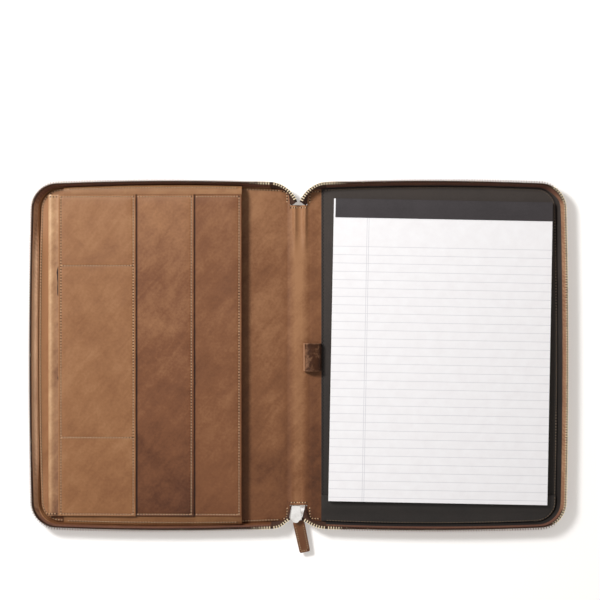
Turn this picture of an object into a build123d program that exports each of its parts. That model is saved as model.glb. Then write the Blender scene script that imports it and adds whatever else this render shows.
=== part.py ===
from build123d import *
import os
from math import acos, asin, atan2, cos, degrees, hypot, radians, sin

os.makedirs("parts", exist_ok=True)

# Zippered leather padfolio, lying open. Millimetres, +Z up, +X to the pad's side, +Y to its head.
# The origin is under the middle of the spine, on the surface that the folio lies on.

# Writing pad, bound along its head
pad_width = 215.9
pad_length = 298.5
pad_turn = 1.1  # degrees that the pad lies askew, clockwise
backing_t = 0.8
paper_t = 5.4
binding_h = 18.5
binding_t = 0.3
binding_setback = 1.6  # bare paper beside the binding tape
pad_rest_gap = 0.2  # backing board over the lining
pad_slot_gap = 0.3  # pocket band over the backing board
pad_lift_gap = 0.25  # sheets over the pocket band

# Room round the pad in the right-hand half
pad_spine_margin = 21.3
pad_fore_margin = 8.9
pad_head_margin = 14.6
pad_foot_margin = 21.7

# Covers and spine
spine_width = 22.0
notch_depth = 18.9  # from the head or foot edge to the spine's end
fold_gap = 0.3
leather_t = 1.3
board_t = 1.7
lining_t = 1.0
board_inset = 4.0
lining_gap = 0.4  # lining short of the zip wall's foot
rim = 0.4  # leather beyond the outside of the zip wall
rim_bevel = 0.7
end_bow = 3.0  # how far the head and foot edges bow outwards
fore_bow = 2.4
fore_corner_r = 20.0
spine_corner_r = 10.0
spine_board_w = 16.0
spine_crown = 0.8

# Zip: a tape wall that flares outwards, with a row of teeth on its upper edge
tape_t = 1.2
side_flare = 6.0
end_flare = 3.0
wall_start = 16.0  # from the fold line to where the stiff wall begins
tooth_pitch = 2.55
tooth_len = 2.0
tooth_root = 1.05
tooth_tip = 0.8
tooth_t = 1.85
tooth_gap = 0.15  # between a tooth and the facing tape when the folio is shut
end_joint = 0.4  # between the stiff wall and the loose end of the tape
end_out = 0.5  # how far the loose end stands clear of the lining
end_fold_gap = 3.2  # from the fold line to the loose end's last foot
end_teeth_edge = 1.2  # from either end of a loose stretch to its first tooth
end_lead = 11.0  # how far a loose end keeps to the wall's line
head_bend = (3.0, 9.0)  # inwards and along the spine, where the rows turn into the head notch
foot_bend = (6.0, -3.0)  # the same at the slider

# Pen loop, sewn into the seam between the leather and the dark lining
pen_d = 7.4
loop_t = 1.2
loop_len = 27.5
loop_y = -2.0
loop_fold_gap = 1.4
loop_tail = 0.4

# Pad pocket, a band along the foot of the right-hand half
band_t = 1.0
band_cover = 9.0  # how far the band laps over the backing board
band_slack = 1.8
band_slope = 10.0

# Expanding pocket with three stepped panels on the left-hand half
side_fold_inset = 10.0
side_fold_w = 5.0
side_fold_h = 4.8
pocket_t = 1.2
hinge_gap = 0.6
hinge_lift = 2.3
panel_end_gap = 8.8
mouth_gap = 44.7  # from the fold line to the main panel's free edge
mouth_rise = 8.0
bare_strip = 4.6
middle_setback = 47.0
front_setback = 57.3
gusset_t = 0.9
gusset_start = 9.5
gusset_wall_gap = 0.8
gusset_joint = 0.2

# Slider, its bridge and its leather pull
slider_x = -2.5
slider_z = 9.6
slider_lap = 0.4
slider_len = 16.6
slider_w = 11.2
slider_rear_w = 8.4
slider_shoulder = 12.0  # from the rear to the widest place
slider_nose_w = 3.0
slider_plate_t = 1.0
slider_channel = 3.1
slider_post_w = 3.0
slider_post_len = 4.0
slider_lip = 0.7
row_gap = 0.9  # between the slider and the ends of the rows
bridge_w = 3.0
bridge_t = 1.0
bridge_len = 9.0
bridge_room = 2.2
pull_bar_d = 1.4
pull_set = 1.0  # the bar's place in front of the bridge's middle
link_w = 10.4
link_len = 9.5
tab_w = 10.9
tab_len = 32.0
tab_t = 2.4
tab_nose = 2.9  # how far the leather reaches back over the link
tab_corner_r = 1.2
pull_yaw = 12.0
pull_side = 1.0  # how far the pull hangs to one side of the bridge
pull_droop = 4.0

# Derived places
fold_x = spine_width / 2
near_x = fold_x + fold_gap / 2
panel_top = leather_t + board_t + lining_t
shut_z = fold_x + panel_top  # plane in which the two halves meet when shut
wall_top = shut_z - (tooth_t + tooth_gap) / 2
cover_reach = pad_spine_margin + pad_width + pad_fore_margin
fore_x = fold_x + cover_reach
cover_half = (pad_head_margin + pad_length + pad_foot_margin) / 2
spine_length = 2 * (cover_half - notch_depth)
wall_x = fold_x + wall_start
loop_r = pen_d / 2 + loop_t
loop_x = fold_x + loop_fold_gap + loop_r
seam_x = loop_x + loop_r + loop_tail
pad_x = fold_x + pad_spine_margin + pad_width / 2
pad_y = -cover_half + pad_foot_margin + pad_length / 2
pad_tilt = radians(pad_turn)
pad_foot_y = pad_y - (pad_length * cos(pad_tilt) + pad_width * sin(pad_tilt)) / 2
backing_z = panel_top + pad_rest_gap
band_z = backing_z + backing_t + pad_slot_gap
panel_half = cover_half - panel_end_gap
hinge_x = -(fore_x - side_fold_inset - side_fold_w - hinge_gap)
hinge_z = panel_top + hinge_lift
main_w = -fold_x - mouth_gap - hinge_x
pocket_tilt = asin(mouth_rise / main_w)
slider_rear = -spine_length / 2 + slider_lap
row_z = slider_z + slider_plate_t + (slider_channel - tooth_t - tape_t / 3) / 2
bridge_y = slider_rear - slider_len / 2
bar_y = bridge_y - pull_set
bar_z = slider_z - bridge_room / 2


def save(block, name):
    block.part.label = name
    export_step(block.part, f"parts/{name}.step")


def edge_sketch(z, side=0.0, end=0.0, near=0.0):
    """Outline of the right-hand half at height z, grown past the zip wall's foot."""
    reach = fore_x + side
    half = cover_half + end
    corner_x = reach - fore_bow
    corner_y = half - end_bow
    start_x = near_x + near
    mid_x = (start_x + corner_x) / 2
    grown = (side + end) / 2
    with BuildSketch(Plane.XY.offset(z)) as outline:
        with BuildLine():
            ThreePointArc((start_x, corner_y), (mid_x, half), (corner_x, corner_y))
            ThreePointArc((corner_x, corner_y), (reach, 0), (corner_x, -corner_y))
            ThreePointArc((corner_x, -corner_y), (mid_x, -half), (start_x, -corner_y))
            Line((start_x, -corner_y), (start_x, corner_y))
        make_face()
        fillet(outline.vertices().group_by(Axis.X)[-1], fore_corner_r + grown)
        fillet(outline.vertices().group_by(Axis.X)[0], spine_corner_r + grown)
    return outline.sketch


def edge_y(x):
    """Half height of the bowed head and foot edges at x, at the zip wall's foot."""
    corner_x = fore_x - fore_bow
    mid_x = (near_x + corner_x) / 2
    return cover_half - end_bow * ((x - mid_x) / (corner_x - mid_x)) ** 2


def edge_rail(z, side, end):
    """The same outline as a run of edges from the fold line at the head to the one at the foot."""
    face = edge_sketch(z, side, end).face()
    edges = face.outer_wire().edges()
    kept = [e for e in edges if max(v.X for v in e.vertices()) > near_x + 1e-3]
    rail = Wire(kept)
    flip = rail.position_at(0).Y < 0
    return rail, flip


def rail_point(rail, run):
    """Place and heading at a distance along a rail, counted from its head end."""
    wire, flip = rail
    run = wire.length - run if flip else run
    place = wire.position_at(run / wire.length)
    heading = wire.tangent_at(run / wire.length)
    return place, heading * (-1 if flip else 1)


def run_to_x(rail, x):
    """Distance along a rail, from its head end, at which it reaches x."""
    low, high = 0.0, rail[0].length / 4
    for _ in range(40):
        mid = (low + high) / 2
        if rail_point(rail, mid)[0].X < x:
            low = mid
        else:
            high = mid
    return low


def tooth_outline():
    """Plan of one tooth: its root lies over the tape, and it narrows to its tip."""
    tip_x = tape_t / 2 + tooth_len
    return Polygon(
        (-tape_t / 2, -tooth_root / 2),
        (tip_x, -tooth_tip / 2),
        (tip_x, tooth_tip / 2),
        (-tape_t / 2, tooth_root / 2),
        align=None,
    )


# Right-hand cover: leather outside, a stiff board, then the lining
with BuildPart() as right_cover_leather:
    extrude(edge_sketch(0, tape_t + rim, tape_t + rim), amount=leather_t)
    lower = right_cover_leather.faces().sort_by(Axis.Z)[0].edges()
    chamfer(lower.filter_by(lambda e: e.center().X > near_x + 1), rim_bevel)
save(right_cover_leather, "right_cover_leather")

with BuildPart() as right_board:
    extrude(edge_sketch(leather_t, -board_inset, -board_inset, board_inset), amount=board_t)
save(right_board, "right_board")

lining_z = leather_t + board_t
lining_plan = edge_sketch(lining_z, -lining_gap, -lining_gap)
seam_plane = Plane.YZ.offset(seam_x)

with BuildPart() as right_lining:
    extrude(lining_plan, amount=lining_t)
    split(bisect_by=seam_plane, keep=Keep.TOP)
save(right_lining, "right_lining")

with BuildPart() as right_hinge_leather:
    extrude(lining_plan, amount=lining_t)
    split(bisect_by=seam_plane, keep=Keep.BOTTOM)
save(right_hinge_leather, "right_hinge_leather")

# Band along the foot, sewn to the lining at its lower edge, with a slot for the backing board
band_top_y = pad_foot_y + band_cover
band_level_y = pad_foot_y - band_slack
band_low_y = band_level_y - band_slope
with BuildPart() as pad_pocket_band:
    with BuildSketch(Plane.YZ.offset(seam_x)):
        with BuildLine():
            Polyline(
                (-cover_half, panel_top),
                (band_low_y, panel_top),
                (band_level_y, band_z),
                (band_top_y, band_z),
                (band_top_y, band_z + band_t),
                (band_level_y, band_z + band_t),
                (band_low_y, panel_top + band_t),
                (-cover_half, panel_top + band_t),
                close=True,
            )
        make_face()
    extrude(amount=fore_x - seam_x)
    extrude(
        edge_sketch(0, -lining_gap, -lining_gap),
        amount=shut_z,
        mode=Mode.INTERSECT,
    )
save(pad_pocket_band, "pad_pocket_band")

# Pen loop: a teardrop of leather whose two ends meet in the seam
loop_z = panel_top + loop_r
tail_top = panel_top + 2 * loop_t
tail_turn = acos(loop_r / hypot(seam_x - loop_x, tail_top - loop_z))
tail_way = atan2(tail_top - loop_z, seam_x - loop_x) + tail_turn
with BuildPart() as pen_loop:
    with BuildSketch(Plane.XZ.offset(-loop_y)):
        with BuildLine():
            start = (loop_x, panel_top)
            leave = (loop_x + loop_r * cos(tail_way), loop_z + loop_r * sin(tail_way))
            ThreePointArc(start, (loop_x - loop_r, loop_z), leave)
            Polyline(leave, (seam_x, tail_top), (seam_x, panel_top), start)
        make_face()
        with Locations((loop_x, loop_z)):
            Circle(pen_d / 2, mode=Mode.SUBTRACT)
    extrude(amount=loop_len / 2, both=True)
save(pen_loop, "pen_loop")

# Zip wall: the tape stands on the leather's rim and flares outwards to its toothed edge
foot_z = leather_t
with BuildPart() as right_zip_tape:
    loft(
        [
            edge_sketch(foot_z, tape_t, tape_t).face(),
            edge_sketch(wall_top, side_flare + tape_t, end_flare + tape_t).face(),
        ],
        ruled=True,
    )
    loft(
        [
            edge_sketch(foot_z).face(),
            edge_sketch(wall_top, side_flare, end_flare).face(),
        ],
        ruled=True,
        mode=Mode.SUBTRACT,
    )
    split(bisect_by=Plane.YZ.offset(wall_x), keep=Keep.TOP)
save(right_zip_tape, "right_zip_tape")

foot_rail = edge_rail(foot_z, tape_t / 2 + end_out, tape_t / 2 + end_out)
top_rail = edge_rail(wall_top, side_flare + tape_t / 2, end_flare + tape_t / 2)
wall_run = run_to_x(top_rail, wall_x + tooth_root)


def wall_teeth(phase):
    """Teeth along the right-hand wall's edge, moved on by a share of the pitch."""
    places = []
    run = wall_run + phase * tooth_pitch
    while run < top_rail[0].length - wall_run:
        place, heading = rail_point(top_rail, run)
        turn = degrees(atan2(heading.X, -heading.Y))
        places.append(Location((place.X, place.Y, 0), (0, 0, turn)))
        run += tooth_pitch
    with BuildPart() as row:
        with BuildSketch(Plane.XY.offset(wall_top)):
            with Locations(*places):
                tooth_outline()
        extrude(amount=tooth_t)
    return row.part


with BuildPart() as right_zip_teeth:
    add(wall_teeth(0.0))
save(right_zip_teeth, "right_zip_teeth")

# Left-hand cover: the mirror of the right one, its teeth half a pitch on so that the rows mesh
with BuildPart() as left_cover_leather:
    mirror(right_cover_leather.part, about=Plane.YZ)
save(left_cover_leather, "left_cover_leather")

with BuildPart() as left_board:
    mirror(right_board.part, about=Plane.YZ)
save(left_board, "left_board")

with BuildPart() as left_lining:
    extrude(lining_plan.mirror(Plane.YZ), amount=lining_t, dir=(0, 0, 1))
save(left_lining, "left_lining")

with BuildPart() as left_zip_tape:
    mirror(right_zip_tape.part, about=Plane.YZ)
save(left_zip_tape, "left_zip_tape")

with BuildPart() as left_zip_teeth:
    mirror(wall_teeth(0.5), about=Plane.YZ)
save(left_zip_teeth, "left_zip_teeth")

# Spine: leather, a narrow board and a softly crowned lining between the two fold lines
spine_half_w = fold_x - fold_gap / 2
with BuildPart() as spine_leather:
    with BuildSketch():
        Rectangle(2 * spine_half_w, spine_length)
    extrude(amount=leather_t)
save(spine_leather, "spine_leather")

with BuildPart() as spine_board:
    with BuildSketch(Plane.XY.offset(leather_t)):
        Rectangle(spine_board_w, spine_length - 2 * board_inset)
    extrude(amount=board_t)
save(spine_board, "spine_board")

with BuildPart() as spine_lining:
    with BuildSketch(Plane.XZ):
        with BuildLine():
            ThreePointArc(
                (-spine_half_w, panel_top),
                (0, panel_top + spine_crown),
                (spine_half_w, panel_top),
            )
            Polyline(
                (spine_half_w, panel_top),
                (spine_half_w, lining_z),
                (-spine_half_w, lining_z),
                (-spine_half_w, panel_top),
            )
        make_face()
    extrude(amount=spine_length / 2, both=True)
save(spine_lining, "spine_lining")

# Loose ends of the zip, from the stiff walls into the notches at the spine's two ends
end_steps = 8
end_run = run_to_x(foot_rail, wall_x - end_joint)
end_stop = run_to_x(foot_rail, near_x + end_fold_gap)


def end_rails(side, end):
    """Foot points and upper edge of a loose end; side is -1 or 1 in X, end is -1 or 1 in Y."""
    feet = []
    for step in range(end_steps + 1):
        share = step / end_steps
        place, _ = rail_point(foot_rail, end_run + (end_stop - end_run) * share)
        lift = foot_z + end_joint + (panel_top - foot_z) * share
        feet.append(Vector(side * place.X, end * place.Y, lift))
    top, heading = rail_point(top_rail, run_to_x(top_rail, wall_x - end_joint))
    leave = Vector(side * top.X, end * top.Y, wall_top)
    out = Vector(-side * heading.X, -end * heading.Y, 0)
    if end > 0:
        goal = Vector(side * (tooth_len + tape_t), spine_length / 2 + tape_t + row_gap, row_z)
        bend = goal + Vector(side * head_bend[0], head_bend[1], 0)
    else:
        shoulder_y = slider_rear - slider_shoulder
        goal = Vector(slider_x + side * (slider_w / 2 + row_gap), shoulder_y, row_z)
        bend = goal + Vector(side * foot_bend[0], foot_bend[1], 0)
    with BuildLine() as upper:
        Bezier(leave, leave + out * end_lead, bend, goal)
    return feet, upper.edge()


def end_tape(side, end):
    """Tape of a loose end: flat facets through sections that lean from its foot to its upper edge."""
    feet, upper = end_rails(side, end)
    rings = []
    for step, foot in enumerate(feet):
        share = step / end_steps
        top = upper.position_at(share)
        way = (top - foot).normalized()
        across = upper.tangent_at(share).cross(way).normalized() * (tape_t / 2)
        rings.append((foot - across, foot + across, top + across, top - across))
    facets = [rings[0][:3], rings[0][2:] + rings[0][:1]]
    facets += [rings[-1][:3], rings[-1][2:] + rings[-1][:1]]
    for near, far in zip(rings, rings[1:]):
        for i in range(4):
            j = (i + 1) % 4
            facets.append((near[i], near[j], far[j]))
            facets.append((near[i], far[j], far[i]))
    skin = Shell([Face(Wire.make_polygon(facet)) for facet in facets])
    with BuildPart() as strip:
        add(Solid(skin))
    return strip.part


def end_teeth(side, end, phase):
    """Teeth along the upper edge of a loose end."""
    upper = end_rails(side, end)[1]
    places = []
    run = end_teeth_edge + phase * tooth_pitch
    while run < upper.length - end_teeth_edge:
        place = upper.position_at(run / upper.length)
        heading = upper.tangent_at(run / upper.length)
        turn = degrees(atan2(heading.X * side * end, -heading.Y * side * end))
        seat_z = place.Z + tape_t / 3
        places.append(Location((place.X, place.Y, seat_z), (0, 0, turn + 180)))
        run += tooth_pitch
    with BuildPart() as row:
        for place in places:
            with BuildSketch(Plane(place)):
                tooth_outline()
        extrude(amount=tooth_t)
    return row.part


for side_name, side, phase in (("right", 1, 0.0), ("left", -1, 0.5)):
    for end_name, end in (("top", 1), ("bottom", -1)):
        with BuildPart() as zip_end:
            add(end_tape(side, end))
        save(zip_end, f"{side_name}_zip_end_{end_name}")
        with BuildPart() as zip_end_teeth:
            add(end_teeth(side, end, phase))
        save(zip_end_teeth, f"{side_name}_zip_end_teeth_{end_name}")

# Expanding pocket: a rolled fold down its outer side, then three panels that step towards the spine
side_fold_x = -(fore_x - side_fold_inset)
roll_r = side_fold_w / 2
with BuildPart() as pocket_side_fold:
    with BuildSketch(Plane.XZ):
        with BuildLine():
            left = side_fold_x
            right = side_fold_x + side_fold_w
            crown_z = panel_top + side_fold_h
            Line((left, panel_top), (right, panel_top))
            Line((right, panel_top), (right, crown_z - roll_r))
            ThreePointArc(
                (right, crown_z - roll_r),
                (left + roll_r, crown_z),
                (left, crown_z - roll_r),
            )
            Line((left, crown_z - roll_r), (left, panel_top))
        make_face()
    extrude(amount=panel_half, both=True)
save(pocket_side_fold, "pocket_side_fold")

pocket_way = Vector(cos(pocket_tilt), 0, sin(pocket_tilt))
pocket_up = Vector(-sin(pocket_tilt), 0, cos(pocket_tilt))
middle_w = main_w - middle_setback - bare_strip
front_w = middle_w - front_setback


def pocket_panel(layer, start, width):
    """A panel of the pocket, lying on the ones below it."""
    origin = Vector(hinge_x, 0, hinge_z) + pocket_up * (layer * pocket_t) + pocket_way * start
    with BuildPart() as panel:
        with BuildSketch(Plane(origin=origin, x_dir=pocket_way, z_dir=pocket_up)):
            Rectangle(width, 2 * panel_half, align=(Align.MIN, Align.CENTER))
        extrude(amount=pocket_t)
    return panel.part


for panel_name, layer, start, width in (
    ("main_pocket_panel", 0, 0.0, main_w),
    ("middle_pocket_panel", 1, bare_strip, middle_w),
    ("front_pocket_panel", 2, bare_strip, front_w),
):
    with BuildPart() as pocket_leaf:
        add(pocket_panel(layer, start, width))
    save(pocket_leaf, panel_name)


def gusset(end):
    """Folded side of the pocket: a V that opens from the outer side to the mouth."""
    inner_y = panel_half + gusset_joint
    low_z = panel_top + gusset_t / 2
    sections = []
    for run in (gusset_start, main_w):
        x = hinge_x + run * cos(pocket_tilt)
        outer_y = edge_y(-x) - gusset_wall_gap
        high_z = hinge_z + run * sin(pocket_tilt) + pocket_t / 2
        mid_z = (low_z + high_z) / 2
        plane = Plane(origin=(x, 0, 0), x_dir=(0, 1, 0), z_dir=(1, 0, 0))
        with BuildSketch(plane) as section:
            with BuildLine():
                Polyline(
                    (end * inner_y, high_z + gusset_t / 2),
                    (end * outer_y, mid_z),
                    (end * inner_y, low_z - gusset_t / 2),
                    (end * inner_y, low_z + gusset_t / 2),
                    (end * (outer_y - 2 * gusset_t), mid_z),
                    (end * inner_y, high_z - gusset_t / 2),
                    close=True,
                )
            make_face()
        sections.append(section.sketch.face())
    with BuildPart() as fold:
        loft(sections, ruled=True)
    return fold.part


for end_name, end in (("top", 1), ("bottom", -1)):
    with BuildPart() as pocket_gusset:
        add(gusset(end))
    save(pocket_gusset, f"pocket_gusset_{end_name}")


# Slider: two shield-shaped plates on a post, with lips that guide the tape
def slider_plan(plane):
    """Shield-shaped plan of a slider plate."""
    front = slider_rear - slider_len
    shoulder = slider_rear - slider_shoulder
    with BuildSketch(plane) as shield:
        with BuildLine():
            Polyline(
                (slider_x - slider_rear_w / 2, slider_rear),
                (slider_x + slider_rear_w / 2, slider_rear),
                (slider_x + slider_w / 2, shoulder),
                (slider_x + slider_nose_w / 2, front),
                (slider_x - slider_nose_w / 2, front),
                (slider_x - slider_w / 2, shoulder),
                close=True,
            )
        make_face()
        fillet(shield.vertices(), slider_nose_w / 3)
    return shield.sketch


upper_plate_z = slider_z + slider_plate_t + slider_channel
with BuildPart() as slider_body:
    extrude(slider_plan(Plane.XY.offset(slider_z)), amount=slider_plate_t)
    extrude(slider_plan(Plane.XY.offset(upper_plate_z)), amount=slider_plate_t)
    with BuildSketch(Plane.XY.offset(slider_z + slider_plate_t)):
        with Locations((slider_x, slider_rear - slider_shoulder)):
            Rectangle(slider_post_w, slider_post_len)
    extrude(amount=slider_channel)
    with BuildSketch(Plane.XY.offset(upper_plate_z - slider_lip)):
        with Locations((slider_x, slider_rear - slider_shoulder / 2)):
            with GridLocations(slider_rear_w - slider_plate_t, 0, 2, 1):
                Rectangle(slider_plate_t, slider_shoulder / 2)
    extrude(amount=slider_lip)
    chamfer(slider_body.faces().sort_by(Axis.Z)[-1].edges(), slider_plate_t / 3)
save(slider_body, "slider_body")

with BuildPart() as slider_bridge:
    with BuildSketch(Plane.YZ.offset(slider_x)) as arch:
        with Locations((bridge_y, slider_z)):
            Rectangle(bridge_len, bridge_room + bridge_t, align=(Align.CENTER, Align.MAX))
        outer = arch.vertices().group_by(Axis.Z)[0]
        fillet(outer, bridge_t)
        with Locations((bridge_y, slider_z)):
            Rectangle(
                bridge_len - 2 * bridge_t,
                bridge_room,
                align=(Align.CENTER, Align.MAX),
                mode=Mode.SUBTRACT,
            )
    extrude(amount=bridge_w / 2, both=True)
save(slider_bridge, "slider_bridge")

# Pull: a wire link through the bridge, and a leather tab folded over the link's far bar
yaw = radians(pull_yaw)
droop = radians(pull_droop)
pull_way = Vector(sin(yaw) * cos(droop), -cos(yaw) * cos(droop), -sin(droop))
pull_up = Vector(sin(yaw) * sin(droop), -cos(yaw) * sin(droop), cos(droop))
pull_across = pull_up.cross(pull_way)
bar_middle = Vector(slider_x, bar_y, bar_z) + pull_across * pull_side
pull_plane = Plane(origin=bar_middle, x_dir=pull_way, z_dir=pull_up)
with BuildPart() as pull_link:
    with BuildSketch(pull_plane):
        Rectangle(link_len, link_w, align=(Align.MIN, Align.CENTER))
        Rectangle(
            link_len - pull_bar_d,
            link_w - 2 * pull_bar_d,
            align=(Align.MIN, Align.CENTER),
            mode=Mode.SUBTRACT,
        )
    extrude(amount=pull_bar_d / 2, both=True)
    with BuildSketch(Plane(pull_plane.origin, x_dir=pull_way, z_dir=pull_plane.y_dir)):
        Circle(pull_bar_d / 2)
    extrude(amount=link_w / 2, both=True)
save(pull_link, "pull_link")

with BuildPart() as pull_tab:
    with BuildSketch(pull_plane) as tab:
        with Locations((link_len - tab_nose, 0)):
            Rectangle(tab_len, tab_w, align=(Align.MIN, Align.CENTER))
        fillet(tab.vertices(), tab_corner_r)
    extrude(amount=tab_t / 2, both=True)
    add(pull_link.part, mode=Mode.SUBTRACT)
save(pull_tab, "pull_tab")

# Writing pad: backing board, sheets that ride up over the pocket band, and the binding tape
pad_plane = Plane(
    origin=(pad_x, pad_y, 0),
    x_dir=(cos(pad_tilt), -sin(pad_tilt), 0),
    z_dir=(0, 0, 1),
)
pad_side = Plane(origin=(pad_x, pad_y, 0), x_dir=pad_plane.y_dir, z_dir=pad_plane.x_dir)
with BuildPart() as pad_backing:
    with BuildSketch(pad_plane.offset(backing_z)):
        Rectangle(pad_width, pad_length)
    extrude(amount=backing_t)
save(pad_backing, "pad_backing")

head_z = backing_z + backing_t
foot_lift_z = band_z + band_t + pad_lift_gap
with BuildPart() as pad_sheets:
    with BuildSketch(pad_side):
        with BuildLine():
            Polyline(
                (-pad_length / 2, foot_lift_z),
                (pad_length / 2, head_z),
                (pad_length / 2, head_z + paper_t),
                (-pad_length / 2, foot_lift_z + paper_t),
                close=True,
            )
        make_face()
    extrude(amount=pad_width / 2, both=True)
save(pad_sheets, "pad_sheets")

sheet_slope = (foot_lift_z - head_z) / pad_length
head_top = head_z + paper_t
binding_w = pad_width - binding_setback
with BuildPart() as pad_binding:
    with BuildSketch(pad_side.offset(binding_setback / 2)):
        with BuildLine():
            head = pad_length / 2
            Polyline(
                (head, backing_z),
                (head, head_top),
                (head - binding_h, head_top + binding_h * sheet_slope),
                (head - binding_h, head_top + binding_h * sheet_slope + binding_t),
                (head + binding_t, head_top + binding_t),
                (head + binding_t, backing_z),
                close=True,
            )
        make_face()
    extrude(amount=binding_w / 2, both=True)
save(pad_binding, "pad_binding")
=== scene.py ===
import random
from math import asin, atan2, cos, exp, hypot, pi, radians, sin, sqrt

import bmesh
import bpy
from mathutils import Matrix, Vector, noise


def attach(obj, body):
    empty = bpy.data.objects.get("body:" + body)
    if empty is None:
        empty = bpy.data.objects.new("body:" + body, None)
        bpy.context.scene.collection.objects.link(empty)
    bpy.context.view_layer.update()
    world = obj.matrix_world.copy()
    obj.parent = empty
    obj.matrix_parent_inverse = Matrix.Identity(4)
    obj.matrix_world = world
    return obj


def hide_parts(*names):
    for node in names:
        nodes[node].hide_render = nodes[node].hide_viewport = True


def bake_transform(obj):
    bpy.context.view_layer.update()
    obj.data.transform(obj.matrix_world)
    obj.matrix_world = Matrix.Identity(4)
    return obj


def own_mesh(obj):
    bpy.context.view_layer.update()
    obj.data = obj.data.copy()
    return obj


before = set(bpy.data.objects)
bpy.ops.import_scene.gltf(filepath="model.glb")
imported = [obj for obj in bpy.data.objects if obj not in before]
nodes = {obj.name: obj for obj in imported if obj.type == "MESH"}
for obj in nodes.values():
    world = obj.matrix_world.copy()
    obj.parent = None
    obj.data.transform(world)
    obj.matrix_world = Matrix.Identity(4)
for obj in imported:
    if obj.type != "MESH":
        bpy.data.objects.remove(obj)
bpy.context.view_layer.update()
MM = 0.001
UP = Vector((0, 0, 1))
SIDES = (("right", 1), ("left", -1))
ENDS = (("top", 1), ("bottom", -1))

# Sizes of the folio in millimetres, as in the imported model
FOLD_X = 11.0
NEAR_X = 11.15
FORE_X = 257.1
COVER_HALF = 167.4
SPINE_HALF = 148.5
PANEL_TOP = 4.0
LEATHER_T = 1.3
WALL_X = 27.0
WALL_TOP = 14.0
SIDE_FLARE = 6.0
END_FLARE = 3.0
TAPE_T = 1.2
SEAM_X = 22.6
STRIP_X = 18.0
PANEL_HALF = 158.6
LYING_Y, STANDING_Y = 96, 136


# Mesh helpers
def mesh_piece(name, verts, faces, materials, bevel=0.0, sharp=40.0, marks=None, rounded=None):
    """A new piece from points in millimetres; rounded says at which points hard edges are bevelled."""
    bm = bmesh.new()
    made = [bm.verts.new(Vector(v) * MM) for v in verts]
    for k, face in enumerate(faces):
        new = bm.faces.new([made[i] for i in face])
        new.material_index = marks[k] if marks else 0
    bmesh.ops.remove_doubles(bm, verts=bm.verts, dist=1e-6)
    bmesh.ops.recalc_face_normals(bm, faces=bm.faces)
    if bevel:
        hard = [e for e in bm.edges if len(e.link_faces) == 2 and e.calc_face_angle() > radians(50)]
        if rounded:
            hard = [e for e in hard if rounded((e.verts[0].co + e.verts[1].co) / 2 / MM)]
        bmesh.ops.bevel(
            bm, geom=hard, offset=bevel * MM, segments=2, profile=0.5, affect="EDGES", clamp_overlap=True,
        )
    mesh = bpy.data.meshes.new(name)
    bm.to_mesh(mesh)
    bm.free()
    for polygon in mesh.polygons:
        polygon.use_smooth = True
    mesh.set_sharp_from_angle(angle=radians(sharp))
    for material in materials if isinstance(materials, tuple) else (materials,):
        mesh.materials.append(material)
    piece = bpy.data.objects.new(name, mesh)
    bpy.context.scene.collection.objects.link(piece)
    return piece


def slab(name, top, bottom, material, bevel=0.45, sharp=40.0, rounded=None):
    """A closed piece between two grids of points."""
    rows, cols = len(top), len(top[0])
    base = rows * cols
    verts = [p for row in top for p in row] + [p for row in bottom for p in row]
    faces = []
    for i in range(rows - 1):
        for j in range(cols - 1):
            a, b, c, d = i * cols + j, i * cols + j + 1, (i + 1) * cols + j + 1, (i + 1) * cols + j
            faces.append((a, b, c, d))
            faces.append((base + d, base + c, base + b, base + a))
    ring = [j for j in range(cols)]
    ring += [i * cols + cols - 1 for i in range(1, rows)]
    ring += [(rows - 1) * cols + j for j in range(cols - 2, -1, -1)]
    ring += [i * cols for i in range(rows - 2, 0, -1)]
    for k, a in enumerate(ring):
        b = ring[(k + 1) % len(ring)]
        faces.append((b, a, base + a, base + b))
    return mesh_piece(name, verts, faces, material, bevel, sharp, rounded=rounded)


def swept(name, rings, material, bevel=0.0, sharp=40.0):
    """A closed piece through rings of points."""
    count = len(rings[0])
    verts = [p for ring in rings for p in ring]
    faces = []
    for i in range(len(rings) - 1):
        for j in range(count):
            k = (j + 1) % count
            faces.append((i * count + j, i * count + k, (i + 1) * count + k, (i + 1) * count + j))
    faces.append(tuple(range(count))[::-1])
    faces.append(tuple((len(rings) - 1) * count + j for j in range(count)))
    return mesh_piece(name, verts, faces, material, bevel, sharp)


def spaced(low, high, step, marks=()):
    """Values from low to high, closer together at the marks."""
    count = max(1, round((high - low) / step))
    values = [low + (high - low) * i / count for i in range(count + 1)]
    for mark in marks:
        values += [mark + d for d in (-2.4, -1.5, -0.7, 0.0, 0.7, 1.5, 2.4) if low < mark + d < high]
    values.sort()
    kept = [values[0]]
    for value in values[1:]:
        if value - kept[-1] > 0.35:
            kept.append(value)
    kept[-1] = high
    return kept


def ramp(value, low, high):
    """0 below low, 1 above high, smooth between."""
    t = min(1.0, max(0.0, (value - low) / (high - low)))
    return t * t * (3 - 2 * t)


def bump_at(value, place, width):
    """1 at the place, falling off smoothly over about that width."""
    return exp(-(((value - place) / width) ** 2))


def wave(x, y, size, seed):
    """Soft unevenness from -1 to 1 with features of about that size."""
    return noise.noise(Vector((x / size, y / size, seed)))


def runs_of(points):
    """Distance along a line of points to each of them."""
    runs = [0.0]
    for a, b in zip(points, points[1:]):
        runs.append(runs[-1] + (Vector(b) - Vector(a)).length)
    return runs


def normals_of(line):
    """Left-hand normal at each point of a line in a plane."""
    last = len(line) - 1
    ways = [(line[min(last, k + 1)] - line[max(0, k - 1)]).normalized() for k in range(last + 1)]
    return [Vector((-way.y, way.x)) for way in ways]


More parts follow.
